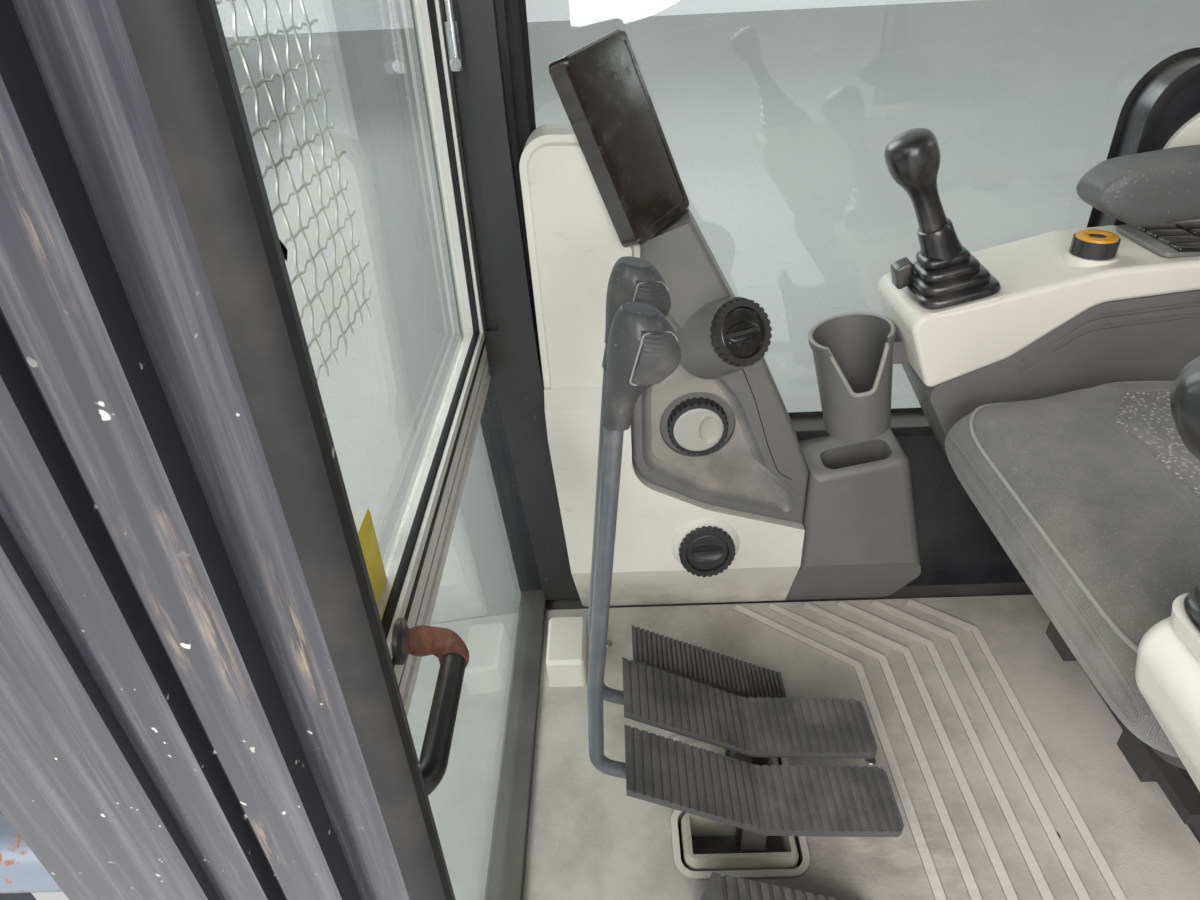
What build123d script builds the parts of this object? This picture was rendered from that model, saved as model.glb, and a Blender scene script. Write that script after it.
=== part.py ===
"""Operator's cab of a crawler excavator, built piece by piece in millimetres.

X points to the cab's left, Y to its rear and Z up.  The origin lies on the
underside of the base frame, in the middle of the four mounting holes.
"""
import os
from math import atan2, cos, hypot, radians, sin, tan

from build123d import *

os.makedirs("parts", exist_ok=True)

# Width of the cab and depth of its side frames
half_width = 485
frame_depth = 60
inner_half = half_width - frame_depth

# Length of the cab, stacked forward from the rear face of the tray
tray_rear = -112
tray_length = 209
piece_gap = 1
console_length = 394
pillar_depth = 122
console_front = tray_rear - tray_length - piece_gap - console_length
cab_front = console_front - pillar_depth
cab_rear = 790
rear_wall_front = cab_rear - 50
sill_front = cab_front + 48
base_front = sill_front + 40

# Heights of the frame, the roof and the waist rail of the windscreen
frame_top = 1640
roof_thickness = 55
roof_top = frame_top + roof_thickness
waist = 600

# Floor
base_height = 80
plate_thickness = 12
mat_thickness = 8
rib_height = 3.5
plate_top = base_height + plate_thickness
floor_top = plate_top + mat_thickness

# Mounting holes, in from the ends of the base frame and in line with its rails
mount_inset = 95
mount_spacing_x = 2 * (inner_half - mount_inset)
mount_spacing_y = 1200
mount_hole = 18

# Seat width, and the consoles that fill the space between the seat and the walls
seat_half = 238
console_wall = -inner_half
console_inner = -(seat_half + 34)
left_console_inner = seat_half + 24
left_console_outer = inner_half - 29

# Glass and rebates
glass_thickness = 5
rebate_width = 14
rebate_depth = 8
glass_play = 0.5

# Travel pedals and levers
pedal_x = 55
pedal_width = 90
pad_thickness = 12
pivot_y = cab_front + 383
pivot_z = floor_top + 50
axle_diameter = 14
rod_diameter = 18
running_clearance = 0.05


def corner_points(rows, index, closed):
    """Start, middle and end of the rounding at one corner of an outline."""
    x, y, radius = rows[index]
    if radius == 0 or (not closed and index in (0, len(rows) - 1)):
        return (x, y), None, (x, y)
    before = rows[index - 1]
    after = rows[(index + 1) % len(rows)]
    ux, uy = before[0] - x, before[1] - y
    vx, vy = after[0] - x, after[1] - y
    lu, lv = hypot(ux, uy), hypot(vx, vy)
    ux, uy, vx, vy = ux / lu, uy / lu, vx / lv, vy / lv
    half = abs(atan2(ux * vy - uy * vx, ux * vx + uy * vy)) / 2
    reach = radius / tan(half)
    bx, by = ux + vx, uy + vy
    lb = hypot(bx, by)
    gap = radius / sin(half) - radius
    start = (x + ux * reach, y + uy * reach)
    end = (x + vx * reach, y + vy * reach)
    middle = (x + bx / lb * gap, y + by / lb * gap)
    return start, middle, end


def rounded_line(rows, closed=True):
    """Lines and arcs through rows of (across, up, corner radius)."""
    corners = [corner_points(rows, i, closed) for i in range(len(rows))]
    last = len(rows) if closed else len(rows) - 1
    for i in range(len(rows)):
        start, middle, end = corners[i]
        if middle is not None:
            ThreePointArc(start, middle, end)
        if i < last:
            Line(end, corners[(i + 1) % len(rows)][0])


def placed(rows, across, up):
    """An outline's rows moved to where the piece stands."""
    return [(x + across, y + up, radius) for x, y, radius in rows]


def grown(rows, amount):
    """A right-angled outline's rows, with every side moved outward by an amount."""
    result = []
    for index, (x, y, radius) in enumerate(rows):
        before = rows[index - 1]
        after = rows[(index + 1) % len(rows)]
        ax, ay = x - before[0], y - before[1]
        bx, by = after[0] - x, after[1] - y
        la, lb = hypot(ax, ay), hypot(bx, by)
        step_x = amount * (ay / la + by / lb)
        step_y = -amount * (ax / la + bx / lb)
        turn = 1 if ax * by - ay * bx > 0 else -1
        result.append((x + step_x, y + step_y, radius + turn * amount))
    return result


def toothed(start, end, pitch, groove, depth):
    """Points of a straight edge with square grooves cut into the left of its run."""
    length = hypot(end[0] - start[0], end[1] - start[1])
    ux, uy = (end[0] - start[0]) / length, (end[1] - start[1]) / length
    count = int(length / pitch)
    first = (length - (count - 1) * pitch - groove) / 2
    points = [start]
    for i in range(count):
        for along, down in ((0, 0), (0, depth), (groove, depth), (groove, 0)):
            reach = first + i * pitch + along
            points.append((start[0] + ux * reach - uy * down, start[1] + uy * reach + ux * down))
    points.append(end)
    return points


def above(point):
    """The point of a travel pad's upper face over a point of its underside."""
    return (point[0], point[1] + pad_thickness)


# Outlines in the side view: distance along Y, height, corner radius, counter-clockwise
side_outline = [
    (cab_rear, 0, 10),
    (cab_rear, frame_top - 100, 60),
    (cab_rear - 75, frame_top, 50),
    (cab_front + 98, frame_top, 60),
    (cab_front, frame_top - 170, 130),
    (cab_front, waist, 90),
    (sill_front, 0, 10),
]
door_front = cab_front + 148
door_post_y = 50
door_top = frame_top - 65
door_opening = [
    (door_front, floor_top, 40),
    (door_post_y, floor_top, 40),
    (door_post_y, door_top, 90),
    (door_front, door_top, 120),
]
window_front = cab_front + 124
window_sill = 430
window_step = 950
window_top = frame_top - 95
side_window = [
    (window_front, window_sill, 60),
    (84, window_sill, 80),
    (84, window_step, 70),
    (560, window_step, 60),
    (560, window_top, 90),
    (window_front, window_top, 90),
]
rear_window = [
    (-320, 830, 50),
    (320, 830, 50),
    (320, frame_top - 150, 50),
    (-320, frame_top - 150, 50),
]

# Base frame: rails, cross members, corner pads with the mounting holes, valve shelf
rail_width = 70
bay_ends = [
    # front, rear
    (base_front + 60, -335),
    (-265, 240),
    (310, rear_wall_front - 20),
]
pad_thick = 14
shelf_top = base_height - 50
shelf_front, shelf_rear = bay_ends[0]
with BuildPart() as base_frame:
    with BuildSketch():
        with Locations((0, (base_front + cab_rear) / 2)):
            Rectangle(2 * inner_half, cab_rear - base_front)
        for bay_front, bay_rear in bay_ends:
            with Locations((0, (bay_front + bay_rear) / 2)):
                Rectangle(2 * (inner_half - rail_width), bay_rear - bay_front, mode=Mode.SUBTRACT)
    extrude(amount=base_height)
    with BuildSketch():
        with GridLocations(mount_spacing_x, mount_spacing_y, 2, 2):
            Rectangle(2 * rail_width, 150)
    extrude(amount=pad_thick)
    with BuildSketch(Plane.XY.offset(pad_thick)):
        with Locations((0, (shelf_front + shelf_rear) / 2)):
            Rectangle(4 * pedal_x, shelf_rear - shelf_front)
    extrude(amount=shelf_top - pad_thick)
    with BuildSketch():
        with GridLocations(mount_spacing_x, mount_spacing_y, 2, 2):
            Circle(mount_hole / 2)
    extrude(amount=pad_thick, mode=Mode.SUBTRACT)
base_frame.part.label = "base_frame"
export_step(base_frame.part, "parts/base_frame.step")

# Floor plate with a rounded hole under each travel pedal
hole_width = 86
hole_length = 157
hole_radius = 18
hole_y = pivot_y - 15
hole_places = [(pedal_x, hole_y), (-pedal_x, hole_y)]
with BuildPart() as floor_plate:
    with BuildSketch(Plane.XY.offset(base_height)):
        with Locations((0, (base_front + rear_wall_front) / 2)):
            Rectangle(2 * inner_half, rear_wall_front - base_front)
        with Locations(*hole_places):
            RectangleRounded(hole_width, hole_length, hole_radius, mode=Mode.SUBTRACT)
    extrude(amount=plate_thickness)
floor_plate.part.label = "floor_plate"
export_step(floor_plate.part, "parts/floor_plate.step")

# Rubber mat: nested ribs run across and turn forward at the right, and a lip stands round each hole
mat_right = 40 - inner_half
mat_rear = 118
rib_count = 6
rib_pitch = 43
rib_width = 13
lip_width = 9
with BuildPart() as floor_mat:
    with BuildSketch(Plane.XY.offset(plate_top)):
        with Locations(((mat_right + inner_half) / 2, (base_front + mat_rear) / 2)):
            Rectangle(inner_half - mat_right, mat_rear - base_front)
        with Locations(*hole_places):
            RectangleRounded(hole_width, hole_length, hole_radius, mode=Mode.SUBTRACT)
    extrude(amount=mat_thickness)
    for i in range(rib_count):
        run_y = -235 + i * rib_pitch
        knee_x = -234 - 0.33 * i * rib_pitch
        tip_x = mat_right + 9
        with BuildSketch(Plane.XY.offset(floor_top)):
            with BuildLine():
                Polyline((inner_half - 25, run_y), (knee_x, run_y), (tip_x, run_y + (tip_x - knee_x) * 1.25))
            trace(line_width=rib_width)
        extrude(amount=rib_height)
    with BuildSketch(Plane.XY.offset(floor_top)):
        with Locations(*hole_places):
            RectangleRounded(hole_width + 2 * lip_width, hole_length + 2 * lip_width, hole_radius + lip_width)
            RectangleRounded(hole_width, hole_length, hole_radius, mode=Mode.SUBTRACT)
    extrude(amount=1.5 * rib_height)
floor_mat.part.label = "floor_mat"
export_step(floor_mat.part, "parts/floor_mat.step")

# Left side frame: door opening with its rebate and seal flange, creased pillar, hinge pins
hinge_x = half_width + 30
hinge_y = door_post_y + 25
hinge_heights = [430, 1230]
hinge_pin = 12
hinge_knuckle = 13
knuckle_height = 40
lug_height = 16
door_rebate = 38
flange_width = 8
flange_depth = 12
pillar_bevel = 32
pillar_grooves = [
    # distance behind the cab's front, width, depth
    (64, 16, 5),
    (84, 8, 9),
]
with BuildPart() as left_frame:
    with BuildSketch(Plane.YZ.offset(inner_half)):
        with BuildLine():
            rounded_line(side_outline)
        make_face()
        with BuildLine():
            rounded_line(door_opening)
        make_face(mode=Mode.SUBTRACT)
    extrude(amount=frame_depth)
    with BuildSketch(Plane.YZ.offset(half_width)):
        with BuildLine():
            rounded_line(grown(door_opening, door_rebate))
        make_face()
        with BuildLine():
            rounded_line(grown(door_opening, flange_width))
        make_face(mode=Mode.SUBTRACT)
    extrude(amount=-flange_depth, mode=Mode.SUBTRACT)
    for behind, width, depth in pillar_grooves:
        with BuildSketch(Plane.YZ.offset(half_width)):
            with Locations((cab_front + behind, (waist + frame_top) / 2 - 90)):
                Rectangle(width, frame_top - waist - 140)
        extrude(amount=-depth, mode=Mode.SUBTRACT)
    with BuildSketch(Plane.XY.offset(floor_top + 40)):
        with BuildLine():
            Polyline(
                (inner_half - 1, door_front - pillar_bevel),
                (half_width - flange_depth - 5, door_front + 1),
                (inner_half - 1, door_front + 1),
                close=True,
            )
        make_face()
    extrude(amount=door_top - 120 - floor_top - 40, mode=Mode.SUBTRACT)
    for z in hinge_heights:
        with BuildSketch(Plane.XY.offset(z)):
            with Locations((hinge_x, hinge_y)):
                Circle(hinge_knuckle)
            with Locations(((half_width - flange_depth + hinge_x) / 2, hinge_y)):
                Rectangle(hinge_x - half_width + flange_depth, 2 * hinge_knuckle)
        extrude(amount=lug_height)
        with BuildSketch(Plane.XY.offset(z + lug_height)):
            with Locations((hinge_x, hinge_y)):
                Circle(hinge_pin / 2)
        extrude(amount=knuckle_height + 2)
left_frame.part.label = "left_frame"
export_step(left_frame.part, "parts/left_frame.step")

# Right side frame with the large stepped window, its rebate and a pressed panel below
pressing_depth = 6
with BuildPart() as right_frame:
    with BuildSketch(Plane.YZ.offset(-half_width)):
        with BuildLine():
            rounded_line(side_outline)
        make_face()
        with BuildLine():
            rounded_line(side_window)
        make_face(mode=Mode.SUBTRACT)
    extrude(amount=frame_depth)
    with BuildSketch(Plane.YZ.offset(-half_width)):
        with BuildLine():
            rounded_line(grown(side_window, rebate_width))
        make_face()
    extrude(amount=rebate_depth, mode=Mode.SUBTRACT)
    with BuildSketch(Plane.YZ.offset(-half_width)):
        with Locations(((sill_front + cab_rear) / 2, (window_sill + 30) / 2)):
            RectangleRounded(cab_rear - sill_front - 200, window_sill - 160, 40)
    extrude(amount=pressing_depth, mode=Mode.SUBTRACT)
right_frame.part.label = "right_frame"
export_step(right_frame.part, "parts/right_frame.step")

# Front frame: sill below the windscreen and header above it
sill_top = floor_top + 12
header_bottom = frame_top - 84
front_sill = [
    (sill_front, 0, 8),
    (base_front, 0, 0),
    (base_front, sill_top, 4),
    (sill_front - 8, sill_top, 4),
]
header = [
    (cab_front, header_bottom, 0),
    (cab_front + 73, header_bottom, 10),
    (cab_front + 93, frame_top, 0),
    (cab_front + 60, frame_top, 30),
]
with BuildPart() as front_frame:
    for rows in (front_sill, header):
        with BuildSketch(Plane.YZ.offset(-inner_half)):
            with BuildLine():
                rounded_line(rows)
            make_face()
        extrude(amount=2 * inner_half)
front_frame.part.label = "front_frame"
export_step(front_frame.part, "parts/front_frame.step")

# Rear wall with its window opening and a pressed panel below
with BuildPart() as rear_wall:
    with BuildSketch(Plane.XZ.offset(-cab_rear)):
        with Locations((0, (base_height + frame_top) / 2)):
            Rectangle(2 * inner_half, frame_top - base_height)
        with BuildLine():
            rounded_line(rear_window)
        make_face(mode=Mode.SUBTRACT)
    extrude(amount=cab_rear - rear_wall_front)
    with BuildSketch(Plane.XZ.offset(-cab_rear)):
        with BuildLine():
            rounded_line(grown(rear_window, rebate_width))
        make_face()
    extrude(amount=rebate_depth, mode=Mode.SUBTRACT)
    with BuildSketch(Plane.XZ.offset(-cab_rear)):
        with Locations((0, (base_height + 830) / 2)):
            RectangleRounded(2 * inner_half - 150, 830 - base_height - 150, 40)
    extrude(amount=pressing_depth, mode=Mode.SUBTRACT)
    with BuildSketch(Plane.YZ.offset(-inner_half)):
        with BuildLine():
            Polyline((cab_rear - 75, frame_top), (cab_rear, frame_top - 100), (cab_rear, frame_top), close=True)
        make_face()
    extrude(amount=2 * inner_half, mode=Mode.SUBTRACT)
rear_wall.part.label = "rear_wall"
export_step(rear_wall.part, "parts/rear_wall.step")

# Roof with the hatch opening, two pressed channels and the hinge lugs of the hatch
roof_front = cab_front + 63
roof_rear = cab_rear - 55
roof_edge_radius = 32
hatch_half = 240
hatch_front = -430
hatch_rear = 40
hatch_hinge_y = hatch_rear + 44
hatch_hinge_z = roof_top + 20
hatch_pin = 10
hatch_lugs = [70 - hatch_half, hatch_half - 70]
hatch_middle = (0, (hatch_front + hatch_rear) / 2)
channel_x = (hatch_half + half_width) / 2
with BuildPart() as roof_panel:
    with BuildSketch(Plane.XY.offset(frame_top)):
        with Locations((0, (roof_front + roof_rear) / 2)):
            RectangleRounded(2 * half_width, roof_rear - roof_front, 70)
    extrude(amount=roof_thickness)
    fillet(roof_panel.faces().sort_by(Axis.Z)[-1].edges(), roof_edge_radius)
    with BuildSketch(Plane.XY.offset(frame_top)):
        with Locations(hatch_middle):
            RectangleRounded(2 * hatch_half, hatch_rear - hatch_front, 40)
    extrude(amount=roof_thickness, mode=Mode.SUBTRACT)
    with BuildSketch(Plane.XY.offset(roof_top)):
        with Locations((channel_x, (roof_front + roof_rear) / 2), (-channel_x, (roof_front + roof_rear) / 2)):
            SlotOverall(roof_rear - roof_front - 180, 44, rotation=90)
    extrude(amount=-pressing_depth, mode=Mode.SUBTRACT)
    for x in hatch_lugs:
        for side in (-1, 1):
            with BuildSketch(Plane.YZ.offset(x + side * 24 - 4)):
                with Locations((hatch_hinge_y, hatch_hinge_z)):
                    Circle(11)
                with Locations((hatch_hinge_y, (roof_top + hatch_hinge_z) / 2)):
                    Rectangle(22, hatch_hinge_z - roof_top)
            extrude(amount=8)
        with BuildSketch(Plane.YZ.offset(x - 28)):
            with Locations((hatch_hinge_y, hatch_hinge_z)):
                Circle(hatch_pin / 2)
        extrude(amount=56)
roof_panel.part.label = "roof_panel"
export_step(roof_panel.part, "parts/roof_panel.step")

# Roof hatch: a lid that overlaps its opening, with a raised middle and two hinge barrels
hatch_overlap = 22
hatch_lift = 6
hatch_thickness = 16
with BuildPart() as roof_hatch:
    with BuildSketch(Plane.XY.offset(roof_top + hatch_lift)):
        with Locations(hatch_middle):
            RectangleRounded(
                2 * (hatch_half + hatch_overlap),
                hatch_rear - hatch_front + 2 * hatch_overlap,
                50,
            )
    extrude(amount=hatch_thickness)
    with BuildSketch(Plane.XY.offset(roof_top + hatch_lift + hatch_thickness)):
        with Locations(hatch_middle):
            RectangleRounded(2 * hatch_half - 60, hatch_rear - hatch_front - 60, 40)
    extrude(amount=8, taper=30)
    for x in hatch_lugs:
        with BuildSketch(Plane.YZ.offset(x - 19)):
            with Locations((hatch_hinge_y, hatch_hinge_z)):
                Circle(10)
            with Locations(((hatch_rear + hatch_hinge_y) / 2 + 8, hatch_hinge_z - 4)):
                Rectangle(hatch_hinge_y - hatch_rear - 16, 12)
        extrude(amount=38)
        with BuildSketch(Plane.YZ.offset(x - 19)):
            with Locations((hatch_hinge_y, hatch_hinge_z)):
                Circle(hatch_pin / 2 + running_clearance)
        extrude(amount=38, mode=Mode.SUBTRACT)
roof_hatch.part.label = "roof_hatch"
export_step(roof_hatch.part, "parts/roof_hatch.step")

# Door in its stored place, swung back beside the cab's rear
door_inner_x = half_width + 14
door_thickness = 40
door_first_y = hinge_y + 19
door_last_y = 2 * hinge_y - cab_front - 136
door_bottom = floor_top - 12
door_head = door_top + 13
door_rail_low = waist - 40
door_rail_high = waist + 40
door_outline = [
    (door_last_y, door_bottom, 50),
    (door_last_y, door_head, 110),
    (door_first_y, door_head, 90),
    (door_first_y, door_bottom, 50),
]
door_windows = [
    [
        (door_first_y + 60, door_rail_high, 50),
        (door_last_y - 54, door_rail_high, 50),
        (door_last_y - 54, door_head - 58, 80),
        (door_first_y + 60, door_head - 58, 60),
    ],
    [
        (door_first_y + 60, door_bottom + 82, 50),
        (door_last_y - 54, door_bottom + 82, 50),
        (door_last_y - 54, door_rail_low, 50),
        (door_first_y + 60, door_rail_low, 50),
    ],
]
with BuildPart() as door_frame:
    with BuildSketch(Plane.YZ.offset(door_inner_x)):
        with BuildLine():
            rounded_line(door_outline)
        make_face()
        for rows in door_windows:
            with BuildLine():
                rounded_line(rows)
            make_face(mode=Mode.SUBTRACT)
    extrude(amount=door_thickness)
    chamfer(door_frame.faces().sort_by(Axis.X)[0].outer_wire().edges(), 6)
    for rows in door_windows:
        with BuildSketch(Plane.YZ.offset(door_inner_x)):
            with BuildLine():
                rounded_line(grown(rows, rebate_width))
            make_face()
        extrude(amount=rebate_depth, mode=Mode.SUBTRACT)
    for z in hinge_heights:
        with BuildSketch(Plane.XY.offset(z + lug_height)):
            with Locations((hinge_x, hinge_y)):
                Circle(hinge_knuckle)
            with Locations((hinge_x + 4, (hinge_y + door_first_y + 4) / 2)):
                Rectangle(18, door_first_y + 4 - hinge_y)
        extrude(amount=knuckle_height)
        with BuildSketch(Plane.XY.offset(z + lug_height)):
            with Locations((hinge_x, hinge_y)):
                Circle(hinge_pin / 2 + running_clearance)
        extrude(amount=knuckle_height, mode=Mode.SUBTRACT)
door_frame.part.label = "door_frame"
export_step(door_frame.part, "parts/door_frame.step")

with BuildPart() as door_glass:
    for rows in door_windows:
        with BuildSketch(Plane.YZ.offset(door_inner_x + rebate_depth)):
            with BuildLine():
                rounded_line(grown(rows, rebate_width - glass_play))
            make_face()
        extrude(amount=-glass_thickness)
door_glass.part.label = "door_glass"
export_step(door_glass.part, "parts/door_glass.step")

# Upper windscreen: drawn sash with a glass rebate and an inner bead, and the cross rail below it
sash_front = cab_front + 10
sash_rear = sash_front + 30
sash_top = header_bottom
side_rail = 34
bottom_rail = 42
top_rail = 40
sash_middle = (0, (waist + bottom_rail + sash_top - top_rail) / 2)
daylight_width = 2 * (inner_half - side_rail)
daylight_height = sash_top - top_rail - waist - bottom_rail
cross_rail_gap = 4
cross_rail_height = 36
cross_rail_top = waist - cross_rail_gap
with BuildPart() as windscreen_sash:
    with BuildSketch(Plane.XZ.offset(-sash_rear)):
        with Locations((0, (waist + sash_top) / 2)):
            Rectangle(2 * inner_half, sash_top - waist)
        with Locations(sash_middle):
            Rectangle(daylight_width, daylight_height, mode=Mode.SUBTRACT)
    extrude(amount=sash_rear - sash_front)
    with BuildSketch(Plane.XZ.offset(-sash_front)):
        with Locations(sash_middle):
            Rectangle(daylight_width + 20, daylight_height + 20)
    extrude(amount=-8, mode=Mode.SUBTRACT)
    with BuildSketch(Plane.XZ.offset(-sash_rear)):
        with Locations(sash_middle):
            Rectangle(daylight_width + 44, daylight_height + 44)
            Rectangle(daylight_width + 24, daylight_height + 24, mode=Mode.SUBTRACT)
    extrude(amount=4, mode=Mode.SUBTRACT)
    with BuildSketch(Plane.XZ.offset(-sash_rear)):
        with Locations((0, cross_rail_top - cross_rail_height / 2)):
            Rectangle(2 * inner_half, cross_rail_height)
    extrude(amount=24)
    with BuildSketch(Plane.XZ.offset(-sash_rear)):
        with Locations((0, cross_rail_top - cross_rail_height / 2)):
            Rectangle(2 * inner_half, 10)
    extrude(amount=4, mode=Mode.SUBTRACT)
windscreen_sash.part.label = "windscreen_sash"
export_step(windscreen_sash.part, "parts/windscreen_sash.step")

with BuildPart() as windscreen_glass:
    with BuildSketch(Plane.XZ.offset(-sash_front - 8)):
        with Locations(sash_middle):
            Rectangle(daylight_width + 20 - 2 * glass_play, daylight_height + 20 - 2 * glass_play)
    extrude(amount=glass_thickness)
windscreen_glass.part.label = "windscreen_glass"
export_step(windscreen_glass.part, "parts/windscreen_glass.step")

# Fixed panes: right side, rear wall and the lower windscreen that leans back to the sill
pane_top = cross_rail_top - cross_rail_height - glass_play
with BuildPart() as fixed_windows:
    with BuildSketch(Plane.YZ.offset(-half_width + rebate_depth)):
        with BuildLine():
            rounded_line(grown(side_window, rebate_width - glass_play))
        make_face()
    extrude(amount=-glass_thickness)
    with BuildSketch(Plane.XZ.offset(-cab_rear + rebate_depth)):
        with BuildLine():
            rounded_line(grown(rear_window, rebate_width - glass_play))
        make_face()
    extrude(amount=-glass_thickness)
    with BuildSketch(Plane.YZ.offset(-inner_half)):
        with BuildLine():
            Polyline(
                (sill_front + 12, sill_top),
                (sill_front + 12 + glass_thickness, sill_top),
                (sash_rear - 8, pane_top),
                (sash_rear - 8 - glass_thickness, pane_top),
                close=True,
            )
        make_face()
    extrude(amount=2 * inner_half)
fixed_windows.part.label = "fixed_windows"
export_step(fixed_windows.part, "parts/fixed_windows.step")

# Front guard: flat bars on tube standoffs, long on the left and cut short on the right
guard_rear = cab_front - 84
guard_bar = 8
bar_width = 40
guard_outer_x = half_width - 30
guard_inner_x = half_width - 127
guard_low = waist + 20
guard_tie = frame_top - 460
guard_bars = [
    # x, low end, high end
    (guard_inner_x, guard_low, frame_top + 20),
    (guard_outer_x, guard_low, frame_top + 20),
    (-guard_inner_x, guard_tie - 20, frame_top + 20),
    (-guard_outer_x, guard_tie - 20, frame_top + 20),
]
guard_ties = [
    # right end, left end, middle height
    (-guard_outer_x - 20, guard_outer_x + 20, frame_top),
    (-guard_outer_x - 20, guard_outer_x + 20, guard_tie),
    (guard_inner_x - 20, guard_outer_x + 20, guard_low + 20),
]
standoffs = [
    # x, z
    (guard_outer_x, guard_low + 160),
    (guard_outer_x, frame_top - 200),
    (-guard_outer_x, frame_top - 200),
    (-guard_outer_x, guard_tie),
]
standoff_radius = 17
with BuildPart() as guard_frame:
    with BuildSketch(Plane.XZ.offset(-guard_rear)):
        for x, low, high in guard_bars:
            with Locations((x, (low + high) / 2)):
                Rectangle(bar_width, high - low)
        for right, left, z in guard_ties:
            with Locations(((right + left) / 2, z)):
                Rectangle(left - right, bar_width)
        with Locations((guard_inner_x, guard_low + 60)):
            SlotOverall(34, 12, rotation=90, mode=Mode.SUBTRACT)
    extrude(amount=guard_bar)
    with BuildSketch(Plane.XZ.offset(-cab_front)):
        with Locations(*standoffs):
            Circle(standoff_radius)
    extrude(amount=cab_front - guard_rear)
guard_frame.part.label = "guard_frame"
export_step(guard_frame.part, "parts/guard_frame.step")

# Wire mesh: one layer of upright wires, one layer of level wires, and the strips that carry them
wire = 3.4
upright_pitch = 38
level_pitch = 35.5
mesh_left = half_width - 48
mesh_right = 125 - half_width
mesh_bottom = guard_low + 90
mesh_top = frame_top - 20
mesh_middle = ((mesh_left + mesh_right) / 2, (mesh_bottom + mesh_top) / 2)
upright_count = int((mesh_left - mesh_right) / upright_pitch) + 1
level_count = int((mesh_top - mesh_bottom) / level_pitch)
level_face = guard_bar - guard_rear
upright_face = level_face + wire + 0.5
with BuildPart() as guard_mesh:
    with BuildSketch(Plane.XZ.offset(upright_face)):
        with Locations(mesh_middle):
            with GridLocations(upright_pitch, 1, upright_count, 1):
                Rectangle(wire, mesh_top - mesh_bottom)
        for z in (mesh_bottom, guard_tie, mesh_top):
            with Locations((mesh_middle[0], z)):
                Rectangle(mesh_left - mesh_right, 5)
    extrude(amount=wire)
    with BuildSketch(Plane.XZ.offset(level_face)):
        with Locations((guard_inner_x, mesh_bottom), (guard_inner_x, mesh_top), (guard_inner_x, guard_tie)):
            Rectangle(bar_width, 5)
    extrude(amount=upright_face - level_face)
    with BuildSketch(Plane.XZ.offset(level_face)):
        with Locations(mesh_middle):
            with GridLocations(1, level_pitch, 1, level_count):
                Rectangle(mesh_left - mesh_right, wire)
    extrude(amount=wire)
guard_mesh.part.label = "guard_mesh"
export_step(guard_mesh.part, "parts/guard_mesh.step")

# Black covers down the right front pillar, with the sash's guide channel
cover_depth = 27
channel_depth = 10
pillar_cover = [
    (cab_front + 40, header_bottom, 0),
    (cab_front + 96, header_bottom, 8),
    (cab_front + 103, 900, 30),
    (cab_front + 114, waist, 40),
    (cab_front + 148, floor_top + 30, 8),
    (cab_front + 148, sill_top, 0),
    (base_front - 2, sill_top, 0),
    (cab_front + 40, waist + 10, 0),
]
with BuildPart() as pillar_trim:
    with BuildSketch(Plane.YZ.offset(console_wall)):
        with BuildLine():
            rounded_line(pillar_cover)
        make_face()
    extrude(amount=cover_depth)
    with BuildSketch(Plane.YZ.offset(console_wall + cover_depth)):
        with Locations((cab_front + 53, (waist + header_bottom) / 2 + 10)):
            Rectangle(18, header_bottom - waist - 60)
    extrude(amount=-channel_depth, mode=Mode.SUBTRACT)
pillar_trim.part.label = "pillar_trim"
export_step(pillar_trim.part, "parts/pillar_trim.step")

# Gas strut beside the windscreen sash: rod below, cylinder above, a ball joint at each end
strut_x = console_wall + cover_depth + 10
strut_y = cab_front + 52
strut_foot = waist + 392
strut_head = header_bottom - 152
strut_parts = [
    # foot, head, radius
    (strut_foot - 8, strut_foot + 44, 8),
    (strut_foot + 44, strut_foot + 170, 5),
    (strut_foot + 170, strut_head, 9),
]
with BuildPart() as windscreen_strut:
    for foot, head, radius in strut_parts:
        with BuildSketch(Plane.XY.offset(foot)):
            with Locations((strut_x, strut_y)):
                Circle(radius)
        extrude(amount=head - foot)
    for z in (strut_foot, strut_head - 8):
        with BuildSketch(Plane.YZ.offset(console_wall + cover_depth - channel_depth)):
            with Locations((strut_y, z)):
                Circle(7)
        extrude(amount=channel_depth + 18)
windscreen_strut.part.label = "windscreen_strut"
export_step(windscreen_strut.part, "parts/windscreen_strut.step")

# Front right console: outlines count from the console's front face and from the mat
core_face = console_wall + 93
upper_face = core_face - 13
lower_face = core_face + 10
seam = piece_gap
shell_seam = [
    (console_length, 215, 0),
    (240, 261, 150),
    (126, 318, 60),
    (125, 440, 0),
    (145, 671, 30),
]
shell_rows = [
    (4, 397, 0),
    (32, 0, 10),
    (console_length, 0, 0),
    *shell_seam,
    (80, 812, 16),
    (-4, 815, 40),
]
raised_rows = [
    (3, 440, 0),
    (125, 440, 0),
    (145, 671, 30),
    (80, 812, 16),
    (-4, 815, 40),
]
lower_rows = [
    (4, 397, 0),
    (32, 0, 10),
    (console_length, 0, 0),
    *shell_seam[:-1],
    (128, 470, 0),
    (3, 470, 0),
]
core_rows = [
    (console_length, 215 + seam, 0),
    (240, 261 + seam, 150),
    (126 + seam, 318 + seam, 60),
    (125 + seam, 440, 0),
    (145 + seam, 671, 30),
    (86, 803, 0),
    (156, 800, 20),
    (220, 685, 40),
    (console_length - 86, 519, 60),
    (console_length - 26, 386, 30),
    (console_length, 317, 0),
]
panel_rows = [
    (160, 612, 10),
    (141, 450, 0),
    (141, 340, 45),
    (240, 280, 60),
    (console_length - 20, 240, 14),
    (console_length - 16, 285, 10),
    (console_length - 64, 328, 20),
    (282, 448, 60),
    (209, 548, 60),
]
panel_depth = 15
panel_slant = 45
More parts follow.
